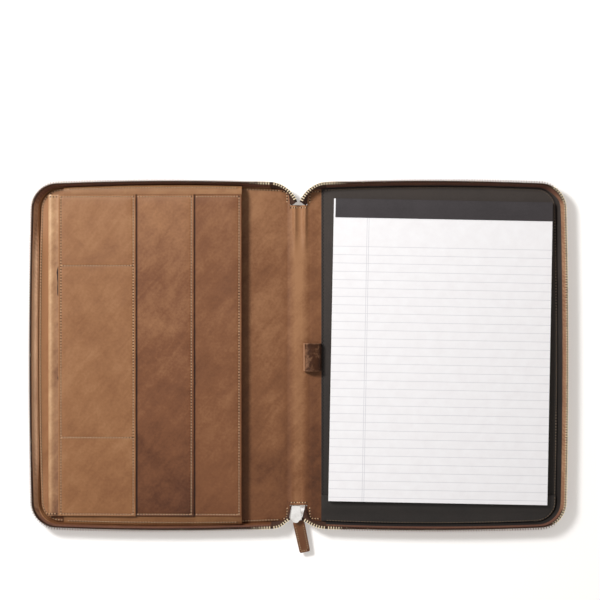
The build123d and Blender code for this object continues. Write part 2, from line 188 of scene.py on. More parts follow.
def resample(points, count):
    """Evenly spaced points along a line of points."""
    runs = runs_of(points)
    out = []
    k = 0
    for i in range(count + 1):
        goal = runs[-1] * i / count
        while k < len(runs) - 2 and runs[k + 1] < goal:
            k += 1
        span = runs[k + 1] - runs[k]
        share = (goal - runs[k]) / span if span else 0.0
        out.append(Vector(points[k]).lerp(Vector(points[k + 1]), min(1.0, max(0.0, share))))
    return out


def arc(centre, start, end, count):
    """Points on a circle's arc from start to end, the short way."""
    a0 = atan2(start[1] - centre[1], start[0] - centre[0])
    a1 = atan2(end[1] - centre[1], end[0] - centre[0])
    turn = (a1 - a0 + pi) % (2 * pi) - pi
    r = hypot(start[0] - centre[0], start[1] - centre[1])
    return [
        (centre[0] + r * cos(a0 + turn * i / count), centre[1] + r * sin(a0 + turn * i / count))
        for i in range(count + 1)
    ]


def outline(side=0.0, end=0.0):
    """Head half of the right-hand outline, from the fold line to the middle of the fore-edge."""
    reach, half = FORE_X + side, COVER_HALF + end
    corner_x, corner_y = reach - 2.4, half - 3.0
    mid_x, grown = (NEAR_X + corner_x) / 2, (side + end) / 2
    span = (corner_x - NEAR_X) / 2
    head_r = (span * span + 9.0) / 6.0
    head = Vector((mid_x, half - head_r))
    fore_r = (corner_y * corner_y + 2.4 * 2.4) / 4.8
    fore = Vector((reach - fore_r, 0))
    r1, r2 = 20.0 + grown, 10.0 + grown
    gap = fore - head
    d, a, b = gap.length, head_r - r1, fore_r - r1
    along = (a * a - b * b + d * d) / (2 * d)
    off = sqrt(a * a - along * along)
    way = gap / d
    centres = [head + way * along + Vector((-way.y, way.x)) * off * s for s in (1, -1)]
    c1 = max(centres, key=lambda c: c.x + c.y)
    c2 = Vector((NEAR_X + r2, 0))
    c2.y = head.y + sqrt((head_r - r2) ** 2 - (c2.x - mid_x) ** 2)
    near_end = head + (c2 - head).normalized() * head_r
    fore_start = head + (c1 - head).normalized() * head_r
    fore_end = fore + (c1 - fore).normalized() * fore_r
    points = arc(c2, (NEAR_X, c2.y), near_end, 14)
    points += arc(head, near_end, fore_start, 90)[1:]
    points += arc(c1, fore_start, fore_end, 22)[1:]
    points += arc(fore, fore_end, (reach, 0), 60)[1:]
    return points


def clip(points, x):
    """The part of an outline beyond x, starting exactly there."""
    for k, (a, b) in enumerate(zip(points, points[1:])):
        if a[0] < x <= b[0]:
            share = (x - a[0]) / (b[0] - a[0])
            start = (x, a[1] + (b[1] - a[1]) * share)
            return [start] + points[k + 1:]
    return points


def height_at(points, x):
    """Half height of an outline at x."""
    return clip(points, x)[0][1]


def round_foot(points):
    """An outline from the head end, round the fore-edge, to the foot end."""
    return list(points) + [(x, -y) for x, y in points[::-1][1:]]


def patch(head, cols, rows):
    """Grid of plan points that fills the outline; the first column is the near edge."""
    fore = max(range(len(head)), key=lambda k: head[k][0] * 0.7 + head[k][1])
    top = resample(head[: fore + 1], cols)
    right = resample([(x, -y) for x, y in head[fore:]] + [p for p in head[fore:]][::-1][1:], rows)
    left = resample([(head[0][0], -head[0][1]), head[0]], rows)
    bottom = [Vector((p.x, -p.y)) for p in top]
    grid = []
    for i in range(rows + 1):
        v = i / rows
        line = []
        for j in range(cols + 1):
            u = j / cols
            p = bottom[j] * (1 - v) + top[j] * v + left[i] * (1 - u) + right[i] * u
            p -= bottom[0] * (1 - u) * (1 - v) + bottom[cols] * u * (1 - v)
            p -= top[0] * (1 - u) * v + top[cols] * u * v
            line.append(p)
        grid.append(line)
    return grid


def raised(plan, side, level):
    """A plan's points on one side of the spine, at a level or at the level that a function gives."""
    height = level if callable(level) else lambda x, y: level
    return [[(side * p.x, p.y, height(p.x, p.y)) for p in row] for row in plan]


def grid_of(rows, cols, point):
    """Rows of points; point takes a column's value and a row's value."""
    return [[point(c, r) for c in cols] for r in rows]


# Material helpers
SPECULAR = "Specular IOR Level"


def linear(*srgb):
    """Scene colour of a screen colour."""
    parts = [value / 255.0 for value in srgb]
    return tuple(c / 12.92 if c <= 0.04045 else ((c + 0.055) / 1.055) ** 2.4 for c in parts)


class Tree:
    """Short ways to add and join the nodes of a tree."""

    def __init__(self, tree):
        self.tree = tree

    def feed(self, node, sockets):
        """Gives each socket a number, a tuple or another node's output."""
        for socket, value in sockets.items():
            if isinstance(value, bpy.types.NodeSocket):
                self.tree.links.new(value, node.inputs[socket])
            else:
                node.inputs[socket].default_value = value

    def add(self, kind, sockets=None, **settings):
        node = self.tree.nodes.new(f"ShaderNode{kind}")
        for key, value in settings.items():
            setattr(node, key, value)
        self.feed(node, sockets or {})
        return node

    def noise(self, coords, scale, detail=3.0, rough=0.5, distort=0.0):
        sockets = {"Vector": coords, "Scale": scale, "Detail": detail, "Roughness": rough, "Distortion": distort}
        return self.add("TexNoise", sockets).outputs["Fac"]

    def math(self, kind, a, b=None):
        return self.add("Math", {0: a} if b is None else {0: a, 1: b}, operation=kind).outputs["Value"]

    def mixed(self, *shares):
        """Sum of values, each times its share."""
        total = None
        for value, share in shares:
            part = self.math("MULTIPLY", value, share)
            total = part if total is None else self.math("ADD", total, part)
        return total

    def spread(self, value, a, b, low, high):
        """A value that goes from low to high as another goes from a to b."""
        sockets = {"Value": value, "From Min": a, "From Max": b, "To Min": low, "To Max": high}
        return self.add("MapRange", sockets).outputs["Result"]

    def ramp(self, value, *stops):
        node = self.add("ValToRGB", {"Fac": value})
        elements = node.color_ramp.elements
        while len(elements) < len(stops):
            elements.new(0.5)
        for element, (at, colour) in zip(elements, stops):
            element.position = at
            element.color = (*colour, 1.0)
        return node.outputs["Color"]

    def bump(self, height, strength, distance, normal=None):
        sockets = {"Height": height, "Strength": strength, "Distance": distance}
        if normal is not None:
            sockets["Normal"] = normal
        return self.add("Bump", sockets).outputs["Normal"]


class Finish(Tree):
    """A new material, with the piece's own coordinates."""

    def __init__(self, name):
        self.material = bpy.data.materials.new(name)
        self.material.use_nodes = True
        super().__init__(self.material.node_tree)
        self.shader = self.tree.nodes["Principled BSDF"]
        self.coords = self.add("TexCoord").outputs["Object"]

    def tinted(self, tone, tints):
        """Slow changes of tone across the folio, mostly painted light and shade: axis, from, to, change at from and
        change at to.
        """
        for axis, low, high, at_low, at_high in tints:
            value = self.add("SeparateXYZ", {"Vector": self.coords}).outputs[axis[-1]]
            if axis[0] == "|":
                value = self.math("ABSOLUTE", value)
            tone = self.math("ADD", tone, self.spread(value, low, high, at_low, at_high))
        return tone

    def shade(self, colour, roughness, normal, more=None):
        self.feed(self.shader, {"Base Color": colour, "Roughness": roughness, "Normal": normal, **(more or {})})
        return self.material


def leather(name, dark, mid, light, cloud=15.0, tints=(), rough=(0.42, 0.56), gloss=0.22, seed=0.0):
    """Aniline leather: soft clouds of colour, faint slanting wrinkles and a fine grain; the deep tone shows only where
    tints paint shade.
    """
    g = Finish(name)
    plain = g.add("Mapping", {"Vector": g.coords, "Location": (seed, seed * 0.7, 0)}).outputs["Vector"]
    slant = {"Vector": plain, "Rotation": (0, 0, radians(52)), "Scale": (5.0, 1.0, 1.0)}
    pulled = g.add("Mapping", slant, vector_type="TEXTURE").outputs["Vector"]
    clouds = g.noise(plain, cloud, 3.0, 0.5, 0.5)
    mottles = g.noise(plain, cloud * 4.2, 4.0, 0.55, 0.4)
    wrinkles = g.noise(pulled, 130.0, 4.0, 0.55, 0.6)
    specks = g.noise(plain, 420.0, 2.0)
    tone = g.mixed((clouds, 0.32), (mottles, 0.27), (wrinkles, 0.24), (specks, 0.17))
    deep = tuple(0.25 * c for c in linear(*dark))
    stops = ((0.08, deep), (0.28, linear(*dark)), (0.5, linear(*mid)), (0.74, linear(*light)))
    grain = g.add("TexVoronoi", {"Vector": plain, "Scale": 1150.0}).outputs["Distance"]
    normal = g.bump(grain, 0.10, 0.0002)
    normal = g.bump(wrinkles, 0.16, 0.0006, normal)
    normal = g.bump(mottles, 0.12, 0.0012, normal)
    colour = g.ramp(g.tinted(tone, tints), *stops)
    return g.shade(colour, g.spread(mottles, 0.3, 0.7, *rough), normal, {SPECULAR: gloss})


def cloth(name, dark, light, thread, rough, bump, twill=False, tints=(), deep=None):
    """Fine weave with a little unevenness; slanting threads make a twill."""
    g = Finish(name)
    clouds = g.noise(g.coords, 28.0, 4.0, 0.6)
    specks = g.noise(g.coords, 900.0, 2.0)
    threads = []
    for axis, turn in (("X", (0.0, 0.9, 0.7)), ("Y", (0.9, 0.0, -0.7))):
        turned = g.coords
        if twill:
            turned = g.add("Mapping", {"Vector": g.coords, "Rotation": turn}).outputs["Vector"]
        sockets = {"Vector": turned, "Scale": 0.314 / thread, "Distortion": 0.8, "Detail Scale": 0.4}
        lines = g.add("TexWave", sockets, wave_type="BANDS", bands_direction=axis)
        threads.append(lines.outputs["Fac"])
    crossed = g.math("MULTIPLY", *threads)
    tone = g.tinted(g.mixed((clouds, 0.5), (specks, 0.3), (crossed, 0.35)), tints)
    stops = [(0.34, linear(*dark)), (0.68, linear(*light))]
    if deep:
        stops.insert(0, (0.05, linear(*deep)))
    roughness = g.spread(clouds, 0.3, 0.7, rough - 0.08, rough + 0.05)
    return g.shade(g.ramp(tone, *stops), roughness, g.bump(crossed, bump, 0.0003), {SPECULAR: 0.25})


def metal(name, dark, light, rough, scale, tints=()):
    """Plain metal with faint clouds and fine scratches."""
    g = Finish(name)
    clouds = g.noise(g.coords, scale, 3.0, 0.5)
    scratches = g.noise(g.coords, scale * 9.0, 3.0, 0.6)
    colour = g.ramp(g.tinted(clouds, tints), (0.3, linear(*dark)), (0.65, linear(*light)))
    roughness = g.spread(scratches, 0.3, 0.7, *rough)
    return g.shade(colour, roughness, g.bump(scratches, 0.05, 0.0001), {"Metallic": 1.0})


def board(name, dark, light):
    """Pressed board with short fibres."""
    g = Finish(name)
    fibres = g.noise(g.coords, 650.0, 5.0, 0.65, 0.8)
    colour = g.ramp(fibres, (0.3, linear(*dark)), (0.7, linear(*light)))
    return g.shade(colour, 0.85, g.bump(fibres, 0.3, 0.0002))


RULE_START, RULE_STEP, RULE_HALF = 47.0, 8.25, 0.3
MARGIN_X, MARGIN_GAP, MARGIN_HALF = 34.0, 0.9, 0.25


def ruled_paper():
    """White sheets with grey rules and a double margin line, laid out in the pad's own millimetres."""
    g = Finish("ruled_paper")
    uv = g.add("UVMap", uv_map="sheet").outputs["UV"]
    parts = g.add("SeparateXYZ", {"Vector": uv}).outputs
    fibres = g.noise(g.coords, 90.0, 4.0, 0.6)
    white = g.ramp(fibres, (0.3, linear(246, 243, 244)), (0.7, linear(251, 249, 250)))
    first = RULE_START - RULE_STEP / 2
    step = g.math("FRACT", g.math("DIVIDE", g.math("SUBTRACT", parts["Y"], first), RULE_STEP))
    near = g.math("ABSOLUTE", g.math("SUBTRACT", step, 0.5))
    rule = g.math("LESS_THAN", near, RULE_HALF / RULE_STEP)
    rule = g.math("MULTIPLY", rule, g.math("GREATER_THAN", parts["Y"], first))
    rule = g.math("MULTIPLY", rule, 0.42)
    for margin in (MARGIN_X - MARGIN_GAP, MARGIN_X + MARGIN_GAP):
        off = g.math("ABSOLUTE", g.math("SUBTRACT", parts["X"], margin))
        line = g.math("MULTIPLY", g.math("LESS_THAN", off, MARGIN_HALF), 0.55)
        rule = g.math("MAXIMUM", rule, line)
    inks = {"Factor": rule, "A": white, "B": (*linear(182, 182, 190), 1.0)}
    colour = g.add("Mix", inks, data_type="RGBA").outputs["Result"]
    return g.shade(colour, 0.75, g.bump(fibres, 0.05, 0.0002), {SPECULAR: 0.2})


def paper_edges():
    """Cut edges of the stack, with fine lines between the sheets."""
    g = Finish("paper_edges")
    stretched = g.add("Mapping", {"Vector": g.coords, "Scale": (30.0, 30.0, 5200.0)}).outputs["Vector"]
    lines = g.noise(stretched, 1.0, 2.0)
    colour = g.ramp(lines, (0.35, linear(196, 192, 192)), (0.6, linear(245, 243, 243)))
    return g.shade(colour, 0.8, g.bump(lines, 0.3, 0.0002))


def tone_and_light_falloff(change):
    """A tone that is higher at the head than at the foot by twice the change; partly the leather's own colour, partly
    painted light falling off from head to foot.
    """
    return ("Y", -0.165, 0.165, -change, change)


# Changes of tone, mostly painted light and shade: a painted sheen on the spine's crown, painted light on rims that the
# walls shade, painted shadows at the mouths of the pocket's tiers, painted glints on the teeth at the notches
# Base leather: painted sheen along the spine's crown, slightly darker at its folds, painted light on the left-hand
# strip in the wall's shade, and a darker right-hand hinge strip
BASE_PAINTED_LIGHT = (
    tone_and_light_falloff(0.14), ("|X", 0.003, 0.0105, 0.17, -0.05), ("|X", 0.012, 0.022, 0.0, 0.05),
    ("|X", 0.2405, 0.249, 0.0, 0.27), ("X", 0.010, 0.014, 0.0, -0.07),
)
# Painted highlight on the loop's left bend and on its top and bottom ends, and painted shade on its side turned from
# the lamp
LOOP_PAINTED_LIGHT = (
    ("X", 0.0056, 0.0064, 0.3, 0.0), ("X", 0.0084, 0.0114, 0.06, -0.03), ("Y", 0.0108, 0.0114, 0.0, 0.12),
    ("Y", -0.0154, -0.0148, 0.12, 0.0),
)
# Painted shade on the tape's ends in the notches, painted light on the left-hand tape in its wall's shade, and a
# darker tape down the right-hand side
TAPE_PAINTED_LIGHT = (("|Y", 0.148, 0.164, 0.0, -0.42), ("X", -0.2625, -0.2600, 0.35, 0.02), ("X", 0.2, 0.25, 0.0, -0.12))
# Painted light on the teeth: bright near the notches, dark further along, and painted glints down the right-hand
# fore-edge
TOOTH_PAINTED_LIGHT = (("|X", 0.028, 0.050, 0.3, -0.3), ("X", 0.245, 0.256, 0.0, 0.45))
# Painted highlight on the front tier's left edge, which steps up towards the lamp, with painted light falling off
# towards the foot
FRONT_PAINTED_LIGHT = (tone_and_light_falloff(0.01), ("X", -0.2369, -0.2360, 0.22, 0.0))
# Painted shadow beside the edge of the tier above, with painted light falling off towards the foot
MIDDLE_PAINTED_SHADE = (tone_and_light_falloff(0.2), ("X", -0.1600, -0.1580, -0.6, 0.0))
MAIN_PAINTED_SHADE = (tone_and_light_falloff(0.05), ("X", -0.1028, -0.1008, -0.6, 0.0))
# Painted highlight on the roll's crown and painted shade on its far slope
ROLL_PAINTED_LIGHT = (tone_and_light_falloff(0.1), ("X", -0.2446, -0.2405, 0.07, -0.12))

# The front tier's lighter leather and the darker middle and main panels are partly painted light, standing for how the
# real tiers tilt to the lamp
front_hide = leather("leather_front_tier", (114, 71, 43), (140, 96, 62), (164, 120, 84), tints=FRONT_PAINTED_LIGHT, seed=1.3)
middle_hide = leather("leather_middle_tier", (84, 48, 28), (115, 72, 45), (152, 107, 72), tints=MIDDLE_PAINTED_SHADE, seed=2.1)
main_hide = leather("leather_main_panel", (93, 55, 33), (118, 75, 47), (148, 103, 69), tints=MAIN_PAINTED_SHADE, seed=3.7)
base_hide = leather("leather_base", (92, 55, 33), (123, 80, 51), (158, 113, 78), tints=BASE_PAINTED_LIGHT, seed=4.4)
# Gusset leather, paler at the head partly by painted light falloff
fold_hide = leather(
    "leather_gusset", (112, 71, 44), (138, 96, 62), (166, 123, 86), tints=(tone_and_light_falloff(0.04),), seed=6.1,
)
# A lighter copy of the leather for the roll, whose side faces the lamp: painted light
roll_hide_painted_light = leather(
    "leather_roll_painted_light", (124, 82, 53), (170, 127, 90), (208, 168, 128), tints=ROLL_PAINTED_LIGHT,
    rough=(0.3, 0.42), gloss=0.5, seed=6.6,
)
outer_hide = leather("leather_outside", (94, 57, 35), (122, 80, 52), (148, 106, 73), seed=7.5)
pull_hide = leather("leather_pull", (78, 46, 30), (106, 68, 45), (130, 90, 62), cloud=60.0, seed=8.2)
# The loop's dark stops stand partly for shade on its side turned from the lamp
loop_hide = leather(
    "leather_loop", (44, 24, 15), (66, 39, 24), (160, 118, 90), cloud=70.0, tints=LOOP_PAINTED_LIGHT, gloss=0.1, seed=9.4,
)
# Dark lining, paler at the head partly by painted light falloff
dark_cloth = cloth("dark_lining", (38, 34, 32), (66, 59, 55), 0.0008, 0.7, 0.3, tints=(tone_and_light_falloff(0.2),))
band_cloth = cloth("dark_band", (32, 29, 27), (50, 45, 42), 0.0008, 0.6, 0.12)
# The tape's deep stop shows only where its tints paint shade on the ends
tape_cloth = cloth(
    "zip_tape", (142, 100, 75), (226, 182, 145), 0.0008, 0.85, 0.4, True, tints=TAPE_PAINTED_LIGHT, deep=(110, 73, 60),
)
# A darker copy of the tape for its ends in the notches: painted shade
end_cloth_painted_shade = cloth("zip_tape_end_painted_shade", (56, 37, 29), (92, 64, 51), 0.0007, 0.85, 0.4, True)
# Dark tape for the cords under the teeth and the wall's upper edge: partly the cord's own colour, partly painted shade
# under the teeth
dark_cord_and_painted_shade = cloth("zip_tape_edge_painted_shade", (36, 23, 18), (68, 46, 36), 0.0006, 0.85, 0.4, True)
thread_tan = cloth("thread_tan", (196, 153, 115), (240, 204, 164), 0.0003, 0.6, 0.3)
thread_grey = cloth("thread_grey", (112, 96, 82), (158, 138, 116), 0.0003, 0.6, 0.3)
thread_black = cloth("thread_black", (16, 14, 14), (32, 29, 28), 0.0003, 0.6, 0.3)
# Needle holes are flat dark discs: painted shade for the holes' hollows
hole_painted_shade_brown = cloth("needle_holes_painted_shade", (30, 16, 10), (50, 30, 20), 0.0004, 0.8, 0.3)
hole_painted_shade_dark = cloth("needle_holes_dark_painted_shade", (14, 12, 12), (28, 25, 24), 0.0004, 0.8, 0.3)
teeth_metal = metal("zip_teeth", (78, 54, 40), (238, 220, 188), (0.3, 0.45), 260.0, TOOTH_PAINTED_LIGHT)
slider_metal = metal("slider_metal", (216, 214, 211), (240, 239, 237), (0.16, 0.28), 120.0)
grey_board = board("grey_board", (128, 118, 104), (156, 146, 130))
brown_board = board("backing_board", (138, 122, 102), (168, 152, 130))
binding_tape = cloth("binding_tape", (48, 44, 45), (66, 61, 63), 0.0006, 0.55, 0.12)
sheet_paper = ruled_paper()
edge_paper = paper_edges()


def dress(piece, body, slot, *replaced):
    """A piece that rides on a body."""
    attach(piece, body)
    if replaced:
        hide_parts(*replaced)


def bend(piece, slot, body, other, start, stop, *replaced):
    """A piece fixed in place where it stands, with the parts it replaces hidden."""
    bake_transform(piece)
    if replaced:
        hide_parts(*replaced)


# Sewing
SIX = [(cos(k * pi / 3), sin(k * pi / 3)) for k in range(6)]
STITCH_SHAPE = ((-0.5, 0.3, -0.16), (-0.3, 0.85, 0.08), (0.0, 1.0, 0.17), (0.3, 0.85, 0.08), (0.5, 0.3, -0.16))


def stitched(name, lines, thread, hole, seed, pitch=2.85, length=1.75, radius=0.56):
    """Rows of stitches between needle holes painted as dark discs of shade; a line is a list of (point, outward
    normal).
    """
    rng = random.Random(seed)
    verts, faces, marks = [], [], []
    for line in lines:
        points = [Vector(p) for p, _ in line]
        normals = [Vector(n).normalized() for _, n in line]
        runs = runs_of(points)
        count = int(runs[-1] / pitch)
        start = (runs[-1] - count * pitch) / 2
        k = 0
        for i in range(2 * count):
            goal = start + (i + 0.5) * pitch / 2
            while k < len(runs) - 2 and runs[k + 1] < goal:
                k += 1
            share = (goal - runs[k]) / max(runs[k + 1] - runs[k], 1e-9)
            centre = points[k].lerp(points[k + 1], share)
            up = normals[k].lerp(normals[k + 1], share).normalized()
            way = (points[k + 1] - points[k]).normalized()
            way = (way + up.cross(way) * rng.uniform(-0.07, 0.07)).normalized()
            across = up.cross(way).normalized()
            first = len(verts)
            if i % 2:
                for c, d in SIX:
                    verts.append(centre + way * (d * pitch * 0.27) + across * (c * radius * 1.3) + up * 0.15)
                verts += [centre + up * 0.22, centre - up * 0.2]
                for side in range(6):
                    a, b = first + side, first + (side + 1) % 6
                    faces += [(a, b, first + 6), (b, a, first + 7)]
                marks += [1] * 12
                continue
            for t, r, lift in STITCH_SHAPE:
                for c, d in SIX:
                    rise = lift + d * radius * r * 0.75
                    verts.append(centre + way * (t * length) + up * rise + across * (c * radius * r))
            for ring in range(4):
                for side in range(6):
                    a, b = first + ring * 6 + side, first + ring * 6 + (side + 1) % 6
                    faces.append((a, b, b + 6, a + 6))
            faces.append(tuple(first + s for s in range(5, -1, -1)))
            faces.append(tuple(first + 24 + s for s in range(6)))
            marks += [0] * 26
    return mesh_piece(name, verts, faces, (thread, hole), marks=marks)


def sew(name, body, lines, seed, thread=thread_tan, hole=hole_painted_shade_brown, slot="brown_leather", **size):
    """Stitches that ride on a body."""
    dress(stitched(name, lines, thread, hole, seed, **size), body, slot)


# Outer leather: two covers, and two strips over the spine
outer_edge = outline(TAPE_T + 0.4, TAPE_T + 0.4)
lining_edge = outline(-0.4, -0.4)
for side_name, side in SIDES:
    plan = patch(clip(outer_edge, STRIP_X), 46, 56)
    cover = slab(
        f"{side_name}_outer_leather", raised(plan, side, LEATHER_T), raised(plan, side, 0.0), outer_hide, 0.5,
        rounded=lambda p: abs(p.x) > STRIP_X + 0.3,
    )
    dress(cover, f"{side_name}_cover", "brown_leather", f"{side_name}_cover_leather")
    line = [((side * x, y, 0.32), -UP) for x, y in round_foot(clip(outline(-2.6, -2.6), STRIP_X + 2))]
    sew(f"{side_name}_outer_stitches", f"{side_name}_cover", [line], 11)


def end_at(x):
    """Half length of the outer leather at x near the spine."""
    if x <= NEAR_X:
        return SPINE_HALF + (outer_edge[0][1] - SPINE_HALF) * ramp(x, 8.6, NEAR_X)
    return height_at(outer_edge, x)


def hide_end(x):
    """The same for the hide, whose corners reach further into the notches."""
    if x < 9.0:
        return SPINE_HALF + 9.5 * ramp(x, 8.4, 9.0)
    if x < 14.8:
        return max(158.3 + sqrt(max(0.0, 5.9 ** 2 - (14.9 - x) ** 2)), SPINE_HALF + 9.5)
    return max(164.2, height_at(lining_edge, x)) if x < STRIP_X else height_at(lining_edge, x)


strip_xs = [0, 1.5, 3, 4.5, 6, 7, 7.8, 8.6, 9.4, 10.2, 11, 11.8, 12.6, 13.4, 14.2, 15, 16, 17, 18]
for side_name, side in SIDES:
    rows = [-1 + i / 45 for i in range(91)]
    top, bottom = [
        grid_of(rows, strip_xs, lambda x, t: (side * x, t * end_at(x), z)) for z in (LEATHER_T, 0.0)
    ]
    strip = slab(
        f"{side_name}_outer_fold", top, bottom, outer_hide, 0.4,
        rounded=lambda p: abs(p.y) > 140 and 0.2 < abs(p.x) < 17.8,
    )
    places = (side * 0.0152, 0, 0), (side * 0.0068, 0, 0)
    bend(strip, "brown_leather", f"{side_name}_cover", "spine", *places, "spine_leather")


# Inner leather: the left-hand base and the hide that runs over the spine to the pad's seam
LINING_LOW = PANEL_TOP - 0.9


def base_z(x, y):
    """Top of the left-hand base; x is counted from the spine."""
    soft = ramp(x, STRIP_X, STRIP_X + 8)
    rim = 3.4 * ramp(x, 248.5, 257.0) * (1 - ramp(abs(y), LYING_Y, STANDING_Y))
    return PANEL_TOP + rim + soft * (0.14 * wave(x, y, 34.0, 3.0) + 0.07 * wave(x, y, 12.0, 8.0))


plan = patch(clip(lining_edge, STRIP_X), 60, 80)
left_base = slab(
    "left_base_leather", raised(plan, -1, base_z), raised(plan, -1, LINING_LOW), base_hide, 0.25,
    rounded=lambda p: p.x < -STRIP_X - 0.3,
)
dress(left_base, "left_cover", "brown_leather", "left_lining")


def hide_z(x, y):
    """Top of the hide over the spine: a soft crown, creases at the folds and ridges at the head."""
    z = PANEL_TOP
    if abs(x) < FOLD_X:
        z += 0.75 * (1 - (x / FOLD_X) ** 2)
    z -= 0.15 * bump_at(abs(x), FOLD_X, 2.4)
    head = ramp(y, 92, 136)
    z += head * (2.0 * bump_at(x, -3.6, 1.9) + 2.0 * bump_at(x, 6.6, 1.9) - 0.6 * bump_at(x, 1.6, 2.0))
    foot = ramp(-y, 116, 146)
    z += foot * (0.6 * bump_at(x, -6.8, 2.0) + 0.5 * bump_at(x, 5.6, 2.0))
    z += 0.2 * wave(x * 2.0, y, 26.0, 5.0) * ramp(18 - abs(x), 0, 4)
    if abs(x) < 9.5:
        z += 0.35 * bump_at(SPINE_HALF - abs(y), 0.9, 0.8) - 0.12 * bump_at(SPINE_HALF - abs(y), 2.4, 0.7)
    return z


hide_xs = [
    0, 0.8, 1.6, 2.4, 3.2, 4, 4.8, 5.6, 6.4, 7.2, 8, 8.4, 8.55, 8.7, 8.85, 9.0, 9.3, 9.8, 10.4, 11, 11.6, 12.4,
    13.2, 14, 15, 16, 17, 18,
]
near_edge = [(9.0, 150.0), (9.0, 154.0)] + [(9.0 + 0.4 * k, hide_end(9.0 + 0.4 * k)) for k in range(1, 37)]
for side_name, side, reach in (("right", 1, SEAM_X), ("left", -1, STRIP_X)):
    xs = hide_xs + ([19.5, 21, SEAM_X] if reach == SEAM_X else [])
    shares = [i / 50 for i in range(47)] + [0.945, 0.965, 0.977, 0.985, 0.991, 0.996, 1.0]
    shares = [-s for s in shares[:0:-1]] + shares
    top = grid_of(shares, xs, lambda x, t: (side * x, t * hide_end(x), hide_z(side * x, t * hide_end(x))))
    bottom = grid_of(shares, xs, lambda x, t: (side * x, t * hide_end(x), LINING_LOW))
    spread = slab(
        f"{side_name}_fold_leather", top, bottom, base_hide, 0.35, 60.0,
        rounded=lambda p: abs(p.y) > 147 and 0.2 < abs(p.x) < reach - 0.2,
    )
    joint = "brown_leather", f"{side_name}_cover", "spine", (side * 0.0145, 0, 0), (side * 0.0075, 0, 0)
    bend(spread, *joint, "spine_lining", *(["right_hinge_leather"] if side > 0 else []))
    sewn = []
    for end in (1, -1):
        across = [(0.4 + 0.5 * k, SPINE_HALF - 2.5) for k in range(18)]
        turned = []
        for a, b in zip(near_edge, near_edge[1:]):
            way = (Vector(b) - Vector(a)).normalized()
            turned.append((a[0] + way.y * 2.2, a[1] - way.x * 2.2))
        turned = [p for p in turned if p[0] < reach]
        for line in (across, turned):
            sewn.append([((side * x, end * y, hide_z(side * x, end * y)), UP) for x, y in line])
    bend(stitched(f"{side_name}_fold_stitches", sewn, thread_tan, hole_painted_shade_brown, 15), *joint)

# Right-hand lining, its seam and the band that holds the pad
plan = patch(clip(lining_edge, SEAM_X), 60, 80)
top = raised(plan, 1, PANEL_TOP)
for row in top[1:-1]:
    row[1:-1] = [(x, y, z + 0.06 * wave(x, y, 22.0, 13.0)) for x, y, z in row[1:-1]]
lining = slab("right_lining_cloth", top, raised(plan, 1, LINING_LOW), dark_cloth, 0.25)
dress(lining, "right_cover", "dark_lining", "right_lining")

BAND_TOP, BAND_LEVEL, BAND_LOW = -138.7, -149.5, -159.5
BAND_T = 0.85
inner_edge = outline(-0.9, -0.9)
fore_points = [(x, y) for x, y in inner_edge if x > 200]


def band_limit(y):
    """How far the band reaches towards the fore-edge at y."""
    best = SEAM_X
    for a, b in zip(fore_points, fore_points[1:]):
        if b[1] <= -y <= a[1] and a[1] > b[1]:
            best = max(best, a[0] + (b[0] - a[0]) * (a[1] + y) / (a[1] - b[1]))
    return best


def band_z(y):
    """Top of the band, which slopes down to the foot."""
    if y > BAND_LEVEL:
        return 6.3
    return 5.0 + 1.3 * ramp(y, BAND_LOW, BAND_LEVEL)


band_ys = [BAND_TOP - d for d in (0, 0.7, 1.5, 3, 5, 7.5, 10, 12, 14, 16, 18, 20, 22, 24, 25.2, 26.1, 26.8)]
top = []
for y in band_ys:
    limit = band_limit(max(y, -164.3))
    row = []
    for k in range(59):
        x = SEAM_X + (limit - SEAM_X) * k / 58
        yy = max(y, -height_at(inner_edge, x)) if x < 236.0 else y
        row.append((x, yy, band_z(yy) + 0.12 * wave(x, yy * 2.0, 18.0, 21.0)))
    top.append(row)
bottom = [[(x, y, z - BAND_T) for x, y, z in row] for row in top]
band = slab("pad_band_cloth", top, bottom, band_cloth, 0.3)
dress(band, "right_cover", "dark_lining", "pad_pocket_band")

line = []
for x, y in round_foot(clip(outline(-1.6, -1.6), SEAM_X + 3)):
    sunk = 0.4 * ramp(y, 138, 150) * ramp(x, 215, 230)
    line.append(((x, y, (band_z(y) if y < BAND_TOP else PANEL_TOP) + 0.06 - sunk), UP))
sew("lining_stitches", "right_cover", [line], 21, thread_grey, hole_painted_shade_dark, "dark_lining", radius=0.46)
seam_y = height_at(lining_edge, SEAM_X + 1.2) - 1.0
zigzag = [(SEAM_X + (0.5 if k % 2 else 2.3), seam_y - 1.7 * k) for k in range(int(2 * seam_y / 1.7))]
line = [((x, y, PANEL_TOP + 0.08), UP) for x, y in zigzag]
sew(
    "seam_stitches", "right_cover", [line], 22, thread_black, hole_painted_shade_dark, "dark_lining",
    pitch=2.475, length=2.2, radius=0.34,
)

# Zip walls: tape that stands on the rim and flares out; down the left side it lies nearly flat in the middle
STEEP = [(k / 10, k / 10) for k in range(11)]
LYING = [
    (0, 0), (0.04, 0.25), (0.08, 0.47), (0.13, 0.61), (0.23, 0.66), (0.40, 0.69),
    (0.60, 0.72), (0.78, 0.77), (0.90, 0.85), (0.97, 0.93), (1.0, 1.0),
]
RISE_Z = WALL_TOP - LEATHER_T
CORD_DROP = 0.7


def wall_profile(t, lean):
    """How far out and how far up the wall's inner face is, as shares, at t of its width."""
    t = min(1.0, max(0.0, t)) * 10
    k = min(9, int(t))

    def share(j, i):
        return STEEP[j][i] * (1 - lean) + LYING[j][i] * lean

    return [share(k, i) * (k + 1 - t) + share(k + 1, i) * (t - k) for i in (0, 1)]


